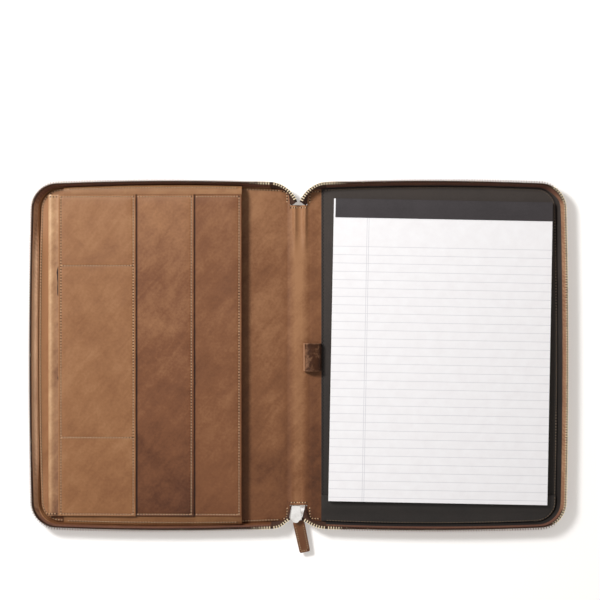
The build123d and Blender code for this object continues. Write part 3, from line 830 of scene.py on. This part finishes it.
def wall_point(foot, head, t, lean, behind=0.0):
    """A point of the wall; behind is how far it lies outside the inner face."""
    span = (head - foot).length
    out, up = wall_profile(t, lean)
    o1, u1 = wall_profile(t - 0.03, lean)
    o2, u2 = wall_profile(t + 0.03, lean)
    way = Vector(((o2 - o1) * span, (u2 - u1) * RISE_Z)).normalized()
    p = foot + (head - foot) / span * (out * span + way.y * behind)
    return Vector((p.x, p.y, LEATHER_T + up * RISE_Z - way.x * behind))


wall_feet = [Vector(p) for p in round_foot(resample(clip(outline(), WALL_X), 240))]
wall_heads = [Vector(p) for p in round_foot(resample(clip(outline(SIDE_FLARE, END_FLARE), WALL_X), 240))]
WALL_STEPS = [0, 0.1, 0.2, 0.27, 0.34, 0.4, 0.47, 0.54, 0.62, 0.7, 0.78, 0.86, 0.93, 1.0]


def lean_at(side, y):
    """1 where the left wall lies nearly flat, 0 where a wall stands."""
    return (1 - ramp(abs(y), LYING_Y, STANDING_Y)) if side < 0 else 0.0


def level_share(z, lean):
    """The share of the wall's width at which its inner face reaches a level."""
    share = 0.0
    while share < 1 and LEATHER_T + wall_profile(share, lean)[1] * RISE_Z < z:
        share += 0.01
    return share


def cord_ring(edge, out, bare=0.0):
    """Section of the cord under the teeth, beside a point of the tape's upper edge; bare leaves their tips free."""
    x, y, z = edge
    ring = []
    for k in range(10):
        reach = 1.7 - 0.45 * bare + (1.1 - 0.35 * bare) * cos(k * pi / 5)
        ring.append((x + out[0] * reach, y + out[1] * reach, z + 0.42 * sin(k * pi / 5)))
    return ring


for side_name, side in SIDES:
    top, bottom, facing, backing = [], [], [], []
    for foot, head in zip(wall_feet, wall_heads):
        lean = lean_at(side, foot.y)
        sway = 0.14 * noise.noise(Vector((foot.x / 17.0, foot.y / 17.0, 31.0)))
        inner, outer, near, far = [], [], [], []
        for t in WALL_STEPS:
            inner.append(wall_point(foot, head, t, lean, sway * sin(pi * t)))
            outer.append(wall_point(foot, head, t, lean, TAPE_T + sway * sin(pi * t)))
        outer[-1].z = max(outer[-1].z, WALL_TOP - 0.06)
        fore = 1 - ramp(abs(foot.y), 148, 164)
        level = 4.7 + (4.4 if side > 0 else 2.1 + 2.0 * lean) * fore
        if foot.y < 0:
            level += 4.1 * (1 - fore)
        t0, t1 = level_share(1.6, lean), level_share(level, lean)
        for k in range(9):
            t = t0 + (t1 - t0) * k / 8
            bead = 0.3 * bump_at(k, 7.2, 1.0) if side < 0 else 0.0
            near.append(wall_point(foot, head, t, lean, -0.42 - bead))
            far.append(wall_point(foot, head, t, lean, 0.2))
        for grid, column in ((top, inner), (bottom, outer), (facing, near), (backing, far)):
            grid.append([(side * p.x, p.y, p.z) for p in column])
    wall = slab(f"{side_name}_tape_wall", top, bottom, (tape_cloth, dark_cord_and_painted_shade), 0.2, 60.0)
    # The wall's upper edge takes the dark tape: painted shade under the teeth
    for polygon in wall.data.polygons:
        if polygon.center.z > (WALL_TOP - 0.6) * MM and (side < 0 or abs(polygon.center.y) > 0.152):
            polygon.material_index = 1
    cover = f"{side_name}_cover"
    dress(wall, cover, "zip_tape", f"{side_name}_zip_tape")
    rings = []
    for foot, head in zip(wall_feet, wall_heads):
        out = (head - foot).normalized()
        bare = ramp(head.x, 34, 55) * (1.0 if side < 0 else 1.0 - 0.8 * ramp(head.x, 240, 255))
        edge = (side * head.x, head.y, WALL_TOP - CORD_DROP)
        rings.append(cord_ring(edge, (side * out.x, out.y), bare))
    dress(swept(f"{side_name}_tooth_cord", rings, dark_cord_and_painted_shade, sharp=70.0), cover, "zip_tape")
    if side > 0:
        dress(slab("right_wall_lining", facing, backing, dark_cloth, 0.2, 60.0), cover, "dark_lining")
    else:
        dress(slab("left_wall_leather", facing, backing, base_hide, 0.3, 60.0), cover, "brown_leather")


# Zip teeth: one shaped tooth set at each tooth of the frame
def tooth_frames(node):
    """Root, outward way and level of each tooth in a node."""
    bm = bmesh.new()
    bm.from_mesh(node.data)
    bmesh.ops.remove_doubles(bm, verts=bm.verts, dist=1e-6)
    bm.verts.ensure_lookup_table()
    seen, found = set(), []
    for vert in bm.verts:
        if vert.index in seen:
            continue
        stack, island = [vert], []
        seen.add(vert.index)
        while stack:
            v = stack.pop()
            island.append(v.co.copy())
            for e in v.link_edges:
                o = e.other_vert(v)
                if o.index not in seen:
                    seen.add(o.index)
                    stack.append(o)
        low = min(p.z for p in island)
        flat = [p.to_2d() for p in island if p.z < low + 0.0005]
        pairs = sorted(((a - b).length, i, j) for i, a in enumerate(flat) for j, b in enumerate(flat) if i < j)
        tip = (flat[pairs[0][1]] + flat[pairs[0][2]]) / 2
        rest = [k for k in range(len(flat)) if k not in pairs[0][1:]]
        root = sum((flat[k] for k in rest), Vector((0, 0))) / len(rest)
        found.append((root, (tip - root).normalized(), low))
    bm.free()
    return found


TOOTH_LOW, TOOTH_HIGH = 0.03, 1.82
tooth = bmesh.new()
shape = [(0.0, 0.5), (1.3, 0.44), (2.1, 0.52), (2.8, 0.44), (3.2, 0.2)]
ring = shape + [(x, -w) for x, w in shape[::-1]]
lower_ring = [tooth.verts.new((x, w, TOOTH_LOW)) for x, w in ring]
upper_ring = [tooth.verts.new((x, w, TOOTH_HIGH)) for x, w in ring]
tooth.faces.new(lower_ring[::-1])
tooth.faces.new(upper_ring)
for k in range(len(ring)):
    m = (k + 1) % len(ring)
    tooth.faces.new((lower_ring[k], lower_ring[m], upper_ring[m], upper_ring[k]))
hard = [e for e in tooth.edges if e.calc_face_angle() > radians(60)]
bmesh.ops.bevel(tooth, geom=hard, offset=0.2, segments=2, profile=0.5, affect="EDGES", clamp_overlap=True)
tooth.verts.index_update()
tooth_verts = [v.co.copy() for v in tooth.verts]
tooth_faces = [tuple(v.index for v in f.verts) for f in tooth.faces]
tooth.free()


def tooth_row(name, node):
    """One shaped tooth at each tooth of a node."""
    verts, faces = [], []
    for root, way, low in tooth_frames(nodes[node]):
        first = len(verts)
        across = Vector((-way.y, way.x))
        for v in tooth_verts:
            p = root / MM + way * v.x + across * v.y
            verts.append((p.x, p.y, low / MM + v.z))
        faces += [tuple(first + k for k in f) for f in tooth_faces]
    return mesh_piece(name, verts, faces, teeth_metal, sharp=35.0)


def bezier(points, t):
    """Point of a cubic curve."""
    a, b, c, d = points
    s = 1 - t
    return a * s ** 3 + b * (3 * s * s * t) + c * (3 * s * t * t) + d * t ** 3


# Loose ends of the tape: from the stiff walls down into the notches, tucked under the hide's edge
ROW_Z = 11.025
END_STEPS = 30
top_edge = clip(outline(SIDE_FLARE + TAPE_T / 2, END_FLARE + TAPE_T / 2), WALL_X + 0.8)
lead = (Vector(top_edge[0]) - Vector(top_edge[1])).normalized()
tucked = resample([
    clip(outline(0.3, 0.3), WALL_X + 0.8)[0], (20.0, 164.9), (15.0, 164.0), (12.2, 163.0), (10.4, 161.0),
    (9.3, 158.5), (8.9, 155.0), (8.6, 150.5), (7.0, 148.6),
], END_STEPS)
for side_name, side in SIDES:
    row = tooth_row(f"{side_name}_teeth_row", f"{side_name}_zip_teeth")
    dress(row, f"{side_name}_cover", "zip_teeth", f"{side_name}_zip_teeth")
    for end_name, end in ENDS:
        leave = Vector((side * top_edge[0][0], end * top_edge[0][1], WALL_TOP))
        out = Vector((side * lead.x, end * lead.y, 0))
        if end > 0:
            goal = Vector((side * 3.2, 150.6, ROW_Z))
            near = goal + Vector((side * 3.0, 9.0, 0))
        else:
            goal = Vector((-2.5 + side * 6.5, -160.1, ROW_Z))
            near = goal + Vector((side * 6.0, -3.0, 0))
        curve = (leave, leave + out * 11.0, near, goal)
        lines = []
        for k, p in enumerate(tucked):
            t = k / END_STEPS
            foot = Vector((side * p.x, end * p.y, 1.75 + 1.6 * t))
            head = bezier(curve, t)
            line = []
            for j in range(8):
                w = j / 7
                puff = Vector((0, -end * 0.5, 0.9)) * (sin(pi * w) * ramp(t, 0.0, 0.4))
                line.append(foot.lerp(head, w) + puff)
            lines.append(line)
        top, bottom = [], []
        for k, line in enumerate(lines):
            before, after = lines[max(0, k - 1)], lines[min(END_STEPS, k + 1)]
            row_top, row_low = [], []
            for j, p in enumerate(line):
                rise = line[min(7, j + 1)] - line[max(0, j - 1)]
                n = (after[j] - before[j]).cross(rise).normalized() * (side * end * 0.5)
                row_top.append(p + n)
                row_low.append(p - n)
            top.append(row_top)
            bottom.append(row_low)
        rings = []
        for k in range(END_STEPS + 1):
            t = k / END_STEPS
            way = bezier(curve, min(1.0, t + 0.02)) - bezier(curve, max(0.0, t - 0.02))
            out = Vector((-way.y, way.x)).normalized() * (side * end * -1)
            edge = bezier(curve, t)
            drop = CORD_DROP - 0.6 * ramp(t, 0.1, 0.4)
            rings.append(cord_ring((edge.x - out.x * 0.6, edge.y - out.y * 0.6, edge.z - drop), out))
        joint = f"{side_name}_cover", "spine", (side * 0.0235, 0, 0), (side * 0.0065, 0, 0)
        strip = slab(f"{side_name}_tape_end_{end_name}", top, bottom, end_cloth_painted_shade, 0.25, 60.0)
        bend(strip, "zip_tape", *joint, f"{side_name}_zip_end_{end_name}")
        cord = swept(f"{side_name}_tooth_cord_{end_name}", rings, dark_cord_and_painted_shade, sharp=70.0)
        bend(cord, "zip_tape", *joint)
        end_teeth = f"{side_name}_zip_end_teeth_{end_name}"
        bend(tooth_row(f"{side_name}_teeth_end_{end_name}", end_teeth), "zip_teeth", *joint, end_teeth)

# Pocket: three panels that step towards the spine, each with a turned and sewn edge
HINGE_X, HINGE_Z = -241.5, 6.3
MAIN_W = 185.8
TILT = asin(8.0 / MAIN_W)
WAY = Vector((cos(TILT), 0, sin(TILT)))
RISE = Vector((-sin(TILT), 0, cos(TILT)))
POCKET_T = 1.2
BARE = 4.6
MIDDLE_W = MAIN_W - 47.0 - BARE
FRONT_W = MIDDLE_W - 57.3
TIER_ROWS = (88.5, -81.0)


def on_pocket(u, v, w):
    """A point of the pocket: along from its hinge, across, and out of its plane."""
    p = Vector((HINGE_X, 0, HINGE_Z)) + WAY * u + RISE * w
    return Vector((p.x, v, p.z))


def pocket_panel(name, node, layer, start, width, material, seed, sewn_rows=()):
    """One tier of the pocket, with its sewing."""
    stop = start + width
    edge_u, near_u, end_v = stop - 2.5, start + 2.6, PANEL_HALF - 2.0
    us = spaced(start, stop, 5.0, (start + 0.8, near_u, edge_u, stop - 0.8))
    marks = (-end_v, end_v, 0.7 - PANEL_HALF, PANEL_HALF - 0.7) + tuple(sewn_rows)
    vs = spaced(-PANEL_HALF, PANEL_HALF, 5.5, marks)

    def lift(u):
        return 0.45 * ramp(u, stop - 26, stop)

    def surface(u, v):
        crown = 0.3 + 0.3 * wave(u, v, 46.0, seed) + 0.15 * wave(u + v * 0.6, v - u * 0.6, 15.0, seed + 9)
        border = min(u - start if layer else 9.0, stop - u, PANEL_HALF - abs(v))
        crown *= ramp(border, 1.5, 7.0)
        seam = bump_at(u, edge_u, 0.8) + (bump_at(u, near_u, 0.8) if layer == 2 else 0.0)
        seam += bump_at(abs(v), end_v, 0.8) + sum(bump_at(v, row, 0.8) for row in sewn_rows)
        bead = 0.22 * bump_at(border, 0.9, 0.7)
        return (layer + 1) * POCKET_T + crown + bead - 0.3 * min(1.0, seam) + lift(u)

    top = grid_of(vs, us, lambda u, v: on_pocket(u, v, surface(u, v)))
    bottom = grid_of(vs, us, lambda u, v: on_pocket(u, v, layer * POCKET_T + 0.03 + lift(u)))
    dress(slab(name, top, bottom, material, 0.42), "pocket", "brown_leather", node)

    def seam_line(u0, v0, u1, v1):
        line = []
        for k in range(101):
            u, v = u0 + (u1 - u0) * k / 100, v0 + (v1 - v0) * k / 100
            line.append((on_pocket(u, v, surface(u, v)), RISE))
        return line

    far_v = PANEL_HALF - 1.4
    shown = start + 1.4 if layer == 2 else (BARE + FRONT_W if layer == 1 else BARE + MIDDLE_W) + 1.0
    lines = [seam_line(edge_u, -far_v, edge_u, far_v)]
    lines += [seam_line(shown, v, stop - 1.4, v) for v in (-end_v, end_v)]
    if layer == 2:
        lines.append(seam_line(near_u, -far_v, near_u, far_v))
    lines += [seam_line(near_u, v, edge_u, v) for v in sewn_rows]
    sew(f"{name}_stitches", "pocket", lines, 40 + layer)


pocket_panel("main_panel", "main_pocket_panel", 0, 0.0, MAIN_W, main_hide, 2.0)
pocket_panel("middle_panel", "middle_pocket_panel", 1, BARE, MIDDLE_W, middle_hide, 5.0)
pocket_panel("front_panel", "front_pocket_panel", 2, BARE, FRONT_W, front_hide, 8.0, TIER_ROWS)

# Rolled fold down the pocket's outer side, running on over the panels' bare strip
roll_outer = [
    (-247.0, 4.15), (-247.4, 5.4), (-247.5, 6.8), (-247.1, 8.1), (-246.2, 9.0), (-245.0, 9.35), (-243.6, 9.15),
    (-242.2, 8.65), (-240.8, 8.25), (-239.2, 8.08), (-237.1, 8.08),
]
roll_inner = [
    (-246.1, 4.15), (-246.4, 5.4), (-246.5, 6.6), (-246.2, 7.6), (-245.6, 8.2), (-244.8, 8.4), (-243.7, 8.2),
    (-242.5, 7.85), (-241.0, 7.64), (-239.2, 7.63), (-237.1, 7.7),
]
roll_outer = [(p.x, p.y) for p in resample(roll_outer, 22)]
roll_inner = [(p.x, p.y) for p in resample(roll_inner, 22)]
top, bottom = [], []
for v in spaced(-PANEL_HALF, PANEL_HALF, 5.0):
    sway = 0.16 * wave(0, v, 22.0, 17.0)
    top.append([(x + sway * ramp(-240 - x, 0, 3), v, z + sway * ramp(z, 5, 8)) for x, z in roll_outer])
    bottom.append([(x, v, z) for x, z in roll_inner])
roll = slab("pocket_rolled_fold", top, bottom, roll_hide_painted_light, 0.3, 60.0)
sewn = []
for v in (PANEL_HALF - 2.0, 2.0 - PANEL_HALF):
    line = []
    for a, b, c in zip(roll_outer[5:], roll_outer[6:], roll_outer[7:]):
        line.append(((b[0], v, b[1] + 0.05), (-(c[1] - a[1]), 0, c[0] - a[0])))
    sewn.append(line)
row = stitched("rolled_fold_stitches", sewn, thread_tan, hole_painted_shade_brown, 47)
joint = "brown_leather", "left_cover", "pocket", (-0.2426, 0, 0.0063), (-0.2405, 0, 0.0063)
bend(roll, *joint, "pocket_side_fold")
bend(row, *joint)

# Gussets: a fold of leather between the base and the panels, opening towards the mouth
GUSSET_HALF_T = 0.42
gusset_edge = outline()
for end_name, end in ENDS:
    rings, sewn = [], []
    for u in spaced(9.5, MAIN_W, 4.0):
        x = HINGE_X + u * cos(TILT)
        high, low = HINGE_Z + u * sin(TILT) + 0.8, PANEL_TOP + 0.45
        inner_y = PANEL_HALF + 0.25
        outer_y = height_at(gusset_edge, min(-x, 236)) + 0.35
        deep, wide = high - low, outer_y - inner_y
        mid = (high + low) / 2 + 0.25 * wave(u, end * 9.0, 30.0, 19.0)
        puff = 0.12 * wave(u, end * 5.0, 16.0, 23.0)
        path = [(0.0, high)]
        if end > 0:
            path += [(0.35, high + 0.1 + puff), (0.72, high - 0.04 * deep + puff), (0.95, mid + 0.26 * deep)]
        else:
            path += [(0.35, high - 0.12 * deep + puff), (0.66, mid + 0.26 * deep), (0.93, mid + 0.1 * deep)]
        path += [(1.0, mid), (0.94, mid - 0.2 * deep), (0.5, low + 0.1 * deep), (0.0, low)]
        path = [Vector((inner_y + wide * a, z)) for a, z in path]
        normals = [n * GUSSET_HALF_T for n in normals_of(path)]
        outside, inside = [[p + n * face for p, n in zip(path, normals)] for face in (1, -1)]
        sewn.append(((x, end * outside[2].x, outside[2].y), (0, end * normals[2].x, normals[2].y)))
        rings.append([(x, end * p.x, p.y) for p in outside + inside[::-1]])
    gusset = swept(f"pocket_gusset_leather_{end_name}", rings, fold_hide, sharp=70.0)
    row = stitched(f"gusset_stitches_{end_name}", [sewn[1:-1]], thread_tan, hole_painted_shade_brown, 48)
    for piece in (gusset, row):
        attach(piece, "left_cover")
        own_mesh(piece)
    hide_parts(f"pocket_gusset_{end_name}")

# Pen loop: a leather arch that bulges over the fold, both its ends in the seam
profile = [
    (22.6, 4.15), (18.0, 4.2), (13.0, 4.35), (8.4, 4.7), (5.8, 5.6), (4.7, 7.0), (4.8, 8.6), (5.8, 10.2), (7.4, 11.9),
    (9.4, 13.0), (11.8, 13.5), (14.4, 13.7), (17.0, 13.5), (19.4, 12.8), (21.1, 11.4), (22.0, 9.4), (22.4, 7.6),
    (22.6, 6.0),
]
LOOP_RIMS = (-15.0, 11.0)
smooth = []
for k in range(len(profile) - 1):
    p0 = Vector(profile[max(0, k - 1)])
    p1, p2 = Vector(profile[k]), Vector(profile[k + 1])
    p3 = Vector(profile[min(len(profile) - 1, k + 2)])
    for i in range(4):
        t = i / 4
        bow = (2 * p0 - 5 * p1 + 4 * p2 - p3) * t * t
        twist = (3 * p1 - p0 - 3 * p2 + p3) * t * t * t
        smooth.append(0.5 * ((2 * p1) + (p2 - p0) * t + bow + twist))
smooth.append(Vector(profile[-1]))
inner_line = [p - n for p, n in zip(smooth, normals_of(smooth))]
top, bottom = [], []
for y in spaced(-15.75, 11.75, 2.2, LOOP_RIMS):
    rim = 0.22 * sum(bump_at(y, at, 0.7) for at in LOOP_RIMS)
    top.append([(p.x, y, p.y + (rim + 0.12 * wave(p.x, y, 9.0, 27.0)) * ramp(p.y, 6, 8)) for p in smooth])
    bottom.append([(p.x, y, p.y) for p in inner_line])
loop = slab("pen_loop_leather", top, bottom, loop_hide, 0.25, 60.0)
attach(loop, "right_cover")
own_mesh(loop)
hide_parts("pen_loop")

# Writing pad: backing, a block of sheets with a slightly lifted top sheet, and the binding
PAD_X, PAD_Y = 140.25, 3.55
PAD_W, PAD_L = 215.9, 298.5
BACKING_LOW, BACKING_TOP = 4.22, 5.0
TURN = radians(1.1)
PAD_ACROSS = Vector((cos(TURN), -sin(TURN), 0))
PAD_DOWN = Vector((-sin(TURN), -cos(TURN), 0))


def on_pad(across, down, z):
    """A point of the pad: millimetres from its left edge, down from its head, and up."""
    p = Vector((PAD_X, PAD_Y, 0)) + PAD_ACROSS * (across - PAD_W / 2) + PAD_DOWN * (down - PAD_L / 2)
    return Vector((p.x, p.y, z))


def sheet_low(down):
    """Underside of the sheets, which the band lifts at the foot."""
    return BACKING_TOP + 1.55 * down / PAD_L


grid_a = spaced(0.0, PAD_W, 12.0)
grid_d = spaced(0.0, PAD_L, 12.0)
top, bottom = [grid_of(grid_d, grid_a, lambda a, d: on_pad(a, d, z)) for z in (BACKING_TOP, BACKING_LOW)]
dress(slab("pad_backing_board", top, bottom, brown_board, 0.2), "pad", "backing_board", "pad_backing")
top, bottom = [grid_of(grid_d, grid_a, lambda a, d: on_pad(a, d, sheet_low(d) + z)) for z in (5.15, 0.02)]
dress(slab("pad_sheet_block", top, bottom, edge_paper, 0.12), "pad", "paper", "pad_sheets")


def top_sheet(a, d):
    """Top of the first sheet, its foot a little lifted."""
    z = sheet_low(d) + 5.26
    z += 0.05 * (1 + wave(a, d, 90.0, 33.0)) * ramp(d, 22, 60)
    return z + 0.5 * ramp(d, 250, 299) * ramp(PAD_W - a, 0, 200)


rows_d = spaced(0.0, PAD_L, 5.0)
cols_a = spaced(0.0, PAD_W, 6.0)
top, bottom = [grid_of(rows_d, cols_a, lambda a, d: on_pad(a, d, top_sheet(a, d) - t)) for t in (0.0, 0.10)]
page = slab("pad_top_sheet", top, bottom, sheet_paper, 0.0)
layer = page.data.uv_layers.new(name="sheet")
for corner in page.data.loops:
    p = page.data.vertices[corner.vertex_index].co / MM - Vector((PAD_X, PAD_Y, 0))
    layer.data[corner.index].uv = (p.dot(PAD_ACROSS) + PAD_W / 2, p.dot(PAD_DOWN) + PAD_L / 2)
dress(page, "pad", "paper", "pad_sheets")

SET, BIND, BIND_LOW = 1.6, 18.5, 4.25
rings = []
for a in spaced(SET, PAD_W, 9.0):
    head_z = sheet_low(0) + 5.4
    foot_z = sheet_low(BIND) + 5.4
    rings.append([
        on_pad(a, 0.0, BIND_LOW), on_pad(a, 0.0, head_z), on_pad(a, BIND, foot_z), on_pad(a, BIND, foot_z + 0.24),
        on_pad(a, BIND * 0.5, (head_z + foot_z) / 2 + 0.28 + 0.05 * wave(a, 0, 14.0, 37.0)),
        on_pad(a, 0.6, head_z + 0.28), on_pad(a, -0.25, head_z - 0.2), on_pad(a, -0.28, BIND_LOW),
    ])
dress(swept("pad_binding_tape", rings, binding_tape, sharp=50.0), "pad", "binding_tape", "pad_binding")

# Slider and link keep the frame's shapes; the pull is two layers of leather sewn round its edge
for names, finish in (
    (("slider_body", "slider_bridge", "pull_link"), slider_metal),
    (("right_board", "left_board", "spine_board"), grey_board),
):
    for name in names:
        nodes[name].data.materials.clear()
        nodes[name].data.materials.append(finish)

YAW, DROOP = radians(12.0), radians(4.0)
PULL_WAY = Vector((sin(YAW) * cos(DROOP), -cos(YAW) * cos(DROOP), -sin(DROOP)))
PULL_UP = Vector((sin(YAW) * sin(DROOP), -cos(YAW) * sin(DROOP), cos(DROOP)))
PULL_SIDE = PULL_UP.cross(PULL_WAY)
PULL_O = Vector((-2.5, -157.4, 8.5)) + PULL_SIDE * 1.0
TAB_START, TAB_LEN, TAB_W = 6.6, 32.0, 10.9


def on_pull(u, v, w):
    """A point of the pull: along it, across it and out of its plane."""
    return PULL_O + PULL_WAY * u + PULL_SIDE * v + PULL_UP * w


def tab_half(u):
    """Half width of the pull at u along it."""
    t = (u - TAB_START) / TAB_LEN
    return TAB_W / 2 * (1.06 - 0.1 * t - 0.16 * ramp(t, 0.955, 1.0) - 0.2 * ramp(0.05 - t, 0.0, 0.05))


def tab_top(u, s):
    """Half thickness of the pull at u along it and s across it, from -1 to 1."""
    fat = 1.12 + 0.42 * bump_at(u, TAB_START + 2.8, 2.6)
    rim = (1 - abs(s)) * tab_half(u)
    end_rim = TAB_START + TAB_LEN - u
    seam = max(bump_at(rim, 1.7, 0.6) * ramp(u, TAB_START + 4, TAB_START + 6), bump_at(end_rim, 1.9, 0.6))
    return fat * (1 - 0.3 * ramp(1.2 - rim, 0, 1.2)) - 0.22 * seam


us = spaced(TAB_START, TAB_START + TAB_LEN, 1.2)
half_ss = [0.15, 0.3, 0.45, 0.6, 0.68, 0.76, 0.84, 0.93, 1]
ss = [-s for s in half_ss[::-1]] + [0] + half_ss
top, bottom = [
    grid_of(us, ss, lambda s, u: on_pull(u, s * tab_half(u), face * tab_top(u, s))) for face in (1, -1)
]
dress(slab("pull_tab_leather", top, bottom, pull_hide, 0.35), "pull", "brown_leather", "pull_tab")
far_u = TAB_START + TAB_LEN - 1.9
reach = tab_half(far_u) - 1.9


def on_tab(u, v, face):
    """A place for a stitch on one face of the pull."""
    return on_pull(u, v, face * tab_top(u, v / tab_half(u))), PULL_UP * face


lines = []
for face in (1, -1):
    for hand in (1, -1):
        lines.append([on_tab(u, hand * (tab_half(u) - 1.7), face) for u in spaced(TAB_START + 5.5, far_u, 1.0)])
    lines.append([on_tab(far_u, -reach + 2 * reach * k / 8, face) for k in range(9)])
sew("pull_stitches", "pull", lines, 51, pitch=2.2, length=1.25, radius=0.44)

# Sewing along the edge of the left-hand base
sewn = round_foot(clip(outline(-1.8, -1.8), STRIP_X))
sew("base_stitches", "left_cover", [[((-x, y, base_z(x, y)), UP) for x, y in sewn]], 61)

# Stage: floor, light and camera
FLOOR_HALF, FLOOR_Z = 3, -0.0002
floor_mesh = bpy.data.meshes.new("floor")
corners = [(x * FLOOR_HALF, y * FLOOR_HALF, FLOOR_Z) for x, y in ((-1, -1), (1, -1), (1, 1), (-1, 1))]
floor_mesh.from_pydata(corners, [], [(0, 1, 2, 3)])
floor = bpy.data.objects.new("floor", floor_mesh)
bpy.context.scene.collection.objects.link(floor)


def seen_rays(g):
    """1 for rays that show the backdrop, 0 for those that only light the object."""
    rays = g.add("LightPath").outputs
    both = g.math("MAXIMUM", rays["Is Camera Ray"], rays["Is Glossy Ray"])
    return g.math("MAXIMUM", both, rays["Is Transmission Ray"])


g = Finish("floor")
pale = g.ramp(g.noise(g.coords, 3.0, 2.0), (0.3, (0.86, 0.855, 0.85)), (0.7, (0.88, 0.875, 0.87)))
g.feed(g.shader, {"Base Color": pale, "Roughness": 0.9, SPECULAR: 0.1})
glow = {"Color": (1.0, 0.94, 0.88, 1.0), "Strength": g.math("MULTIPLY", seen_rays(g), 0.35)}
both = g.add("AddShader", {0: g.shader.outputs["BSDF"], 1: g.add("Emission", glow).outputs["Emission"]})
g.feed(g.tree.nodes["Material Output"], {"Surface": both.outputs["Shader"]})
floor_mesh.materials.append(g.material)

world = bpy.data.worlds.new("studio")
bpy.context.scene.world = world
world.use_nodes = True
g = Tree(world.node_tree)
strength = g.spread(seen_rays(g), 0.0, 1.0, 0.34, 1.0)
g.feed(g.tree.nodes["Background"], {"Color": (1.0, 0.985, 0.97, 1.0), "Strength": strength})

key_data = bpy.data.lights.new("key", "AREA")
key_data.shape = "DISK"
key_data.size = 0.42
key_data.energy = 28.0
key = bpy.data.objects.new("key", key_data)
key.location = (-0.9, 0.75, 1.25)
key.rotation_euler = (-key.location).to_track_quat("-Z", "Y").to_euler()
bpy.context.scene.collection.objects.link(key)

camera_data = bpy.data.cameras.new("camera")
camera_data.sensor_fit = "HORIZONTAL"
camera_data.angle = radians(21.1)
camera = bpy.data.objects.new("camera", camera_data)
camera.location = (0.0015, 0.0546, 1.6)
camera.rotation_euler = (0, 0, 0)
bpy.context.scene.collection.objects.link(camera)
bpy.context.scene.camera = camera
bpy.context.scene.view_settings.view_transform = "Standard"
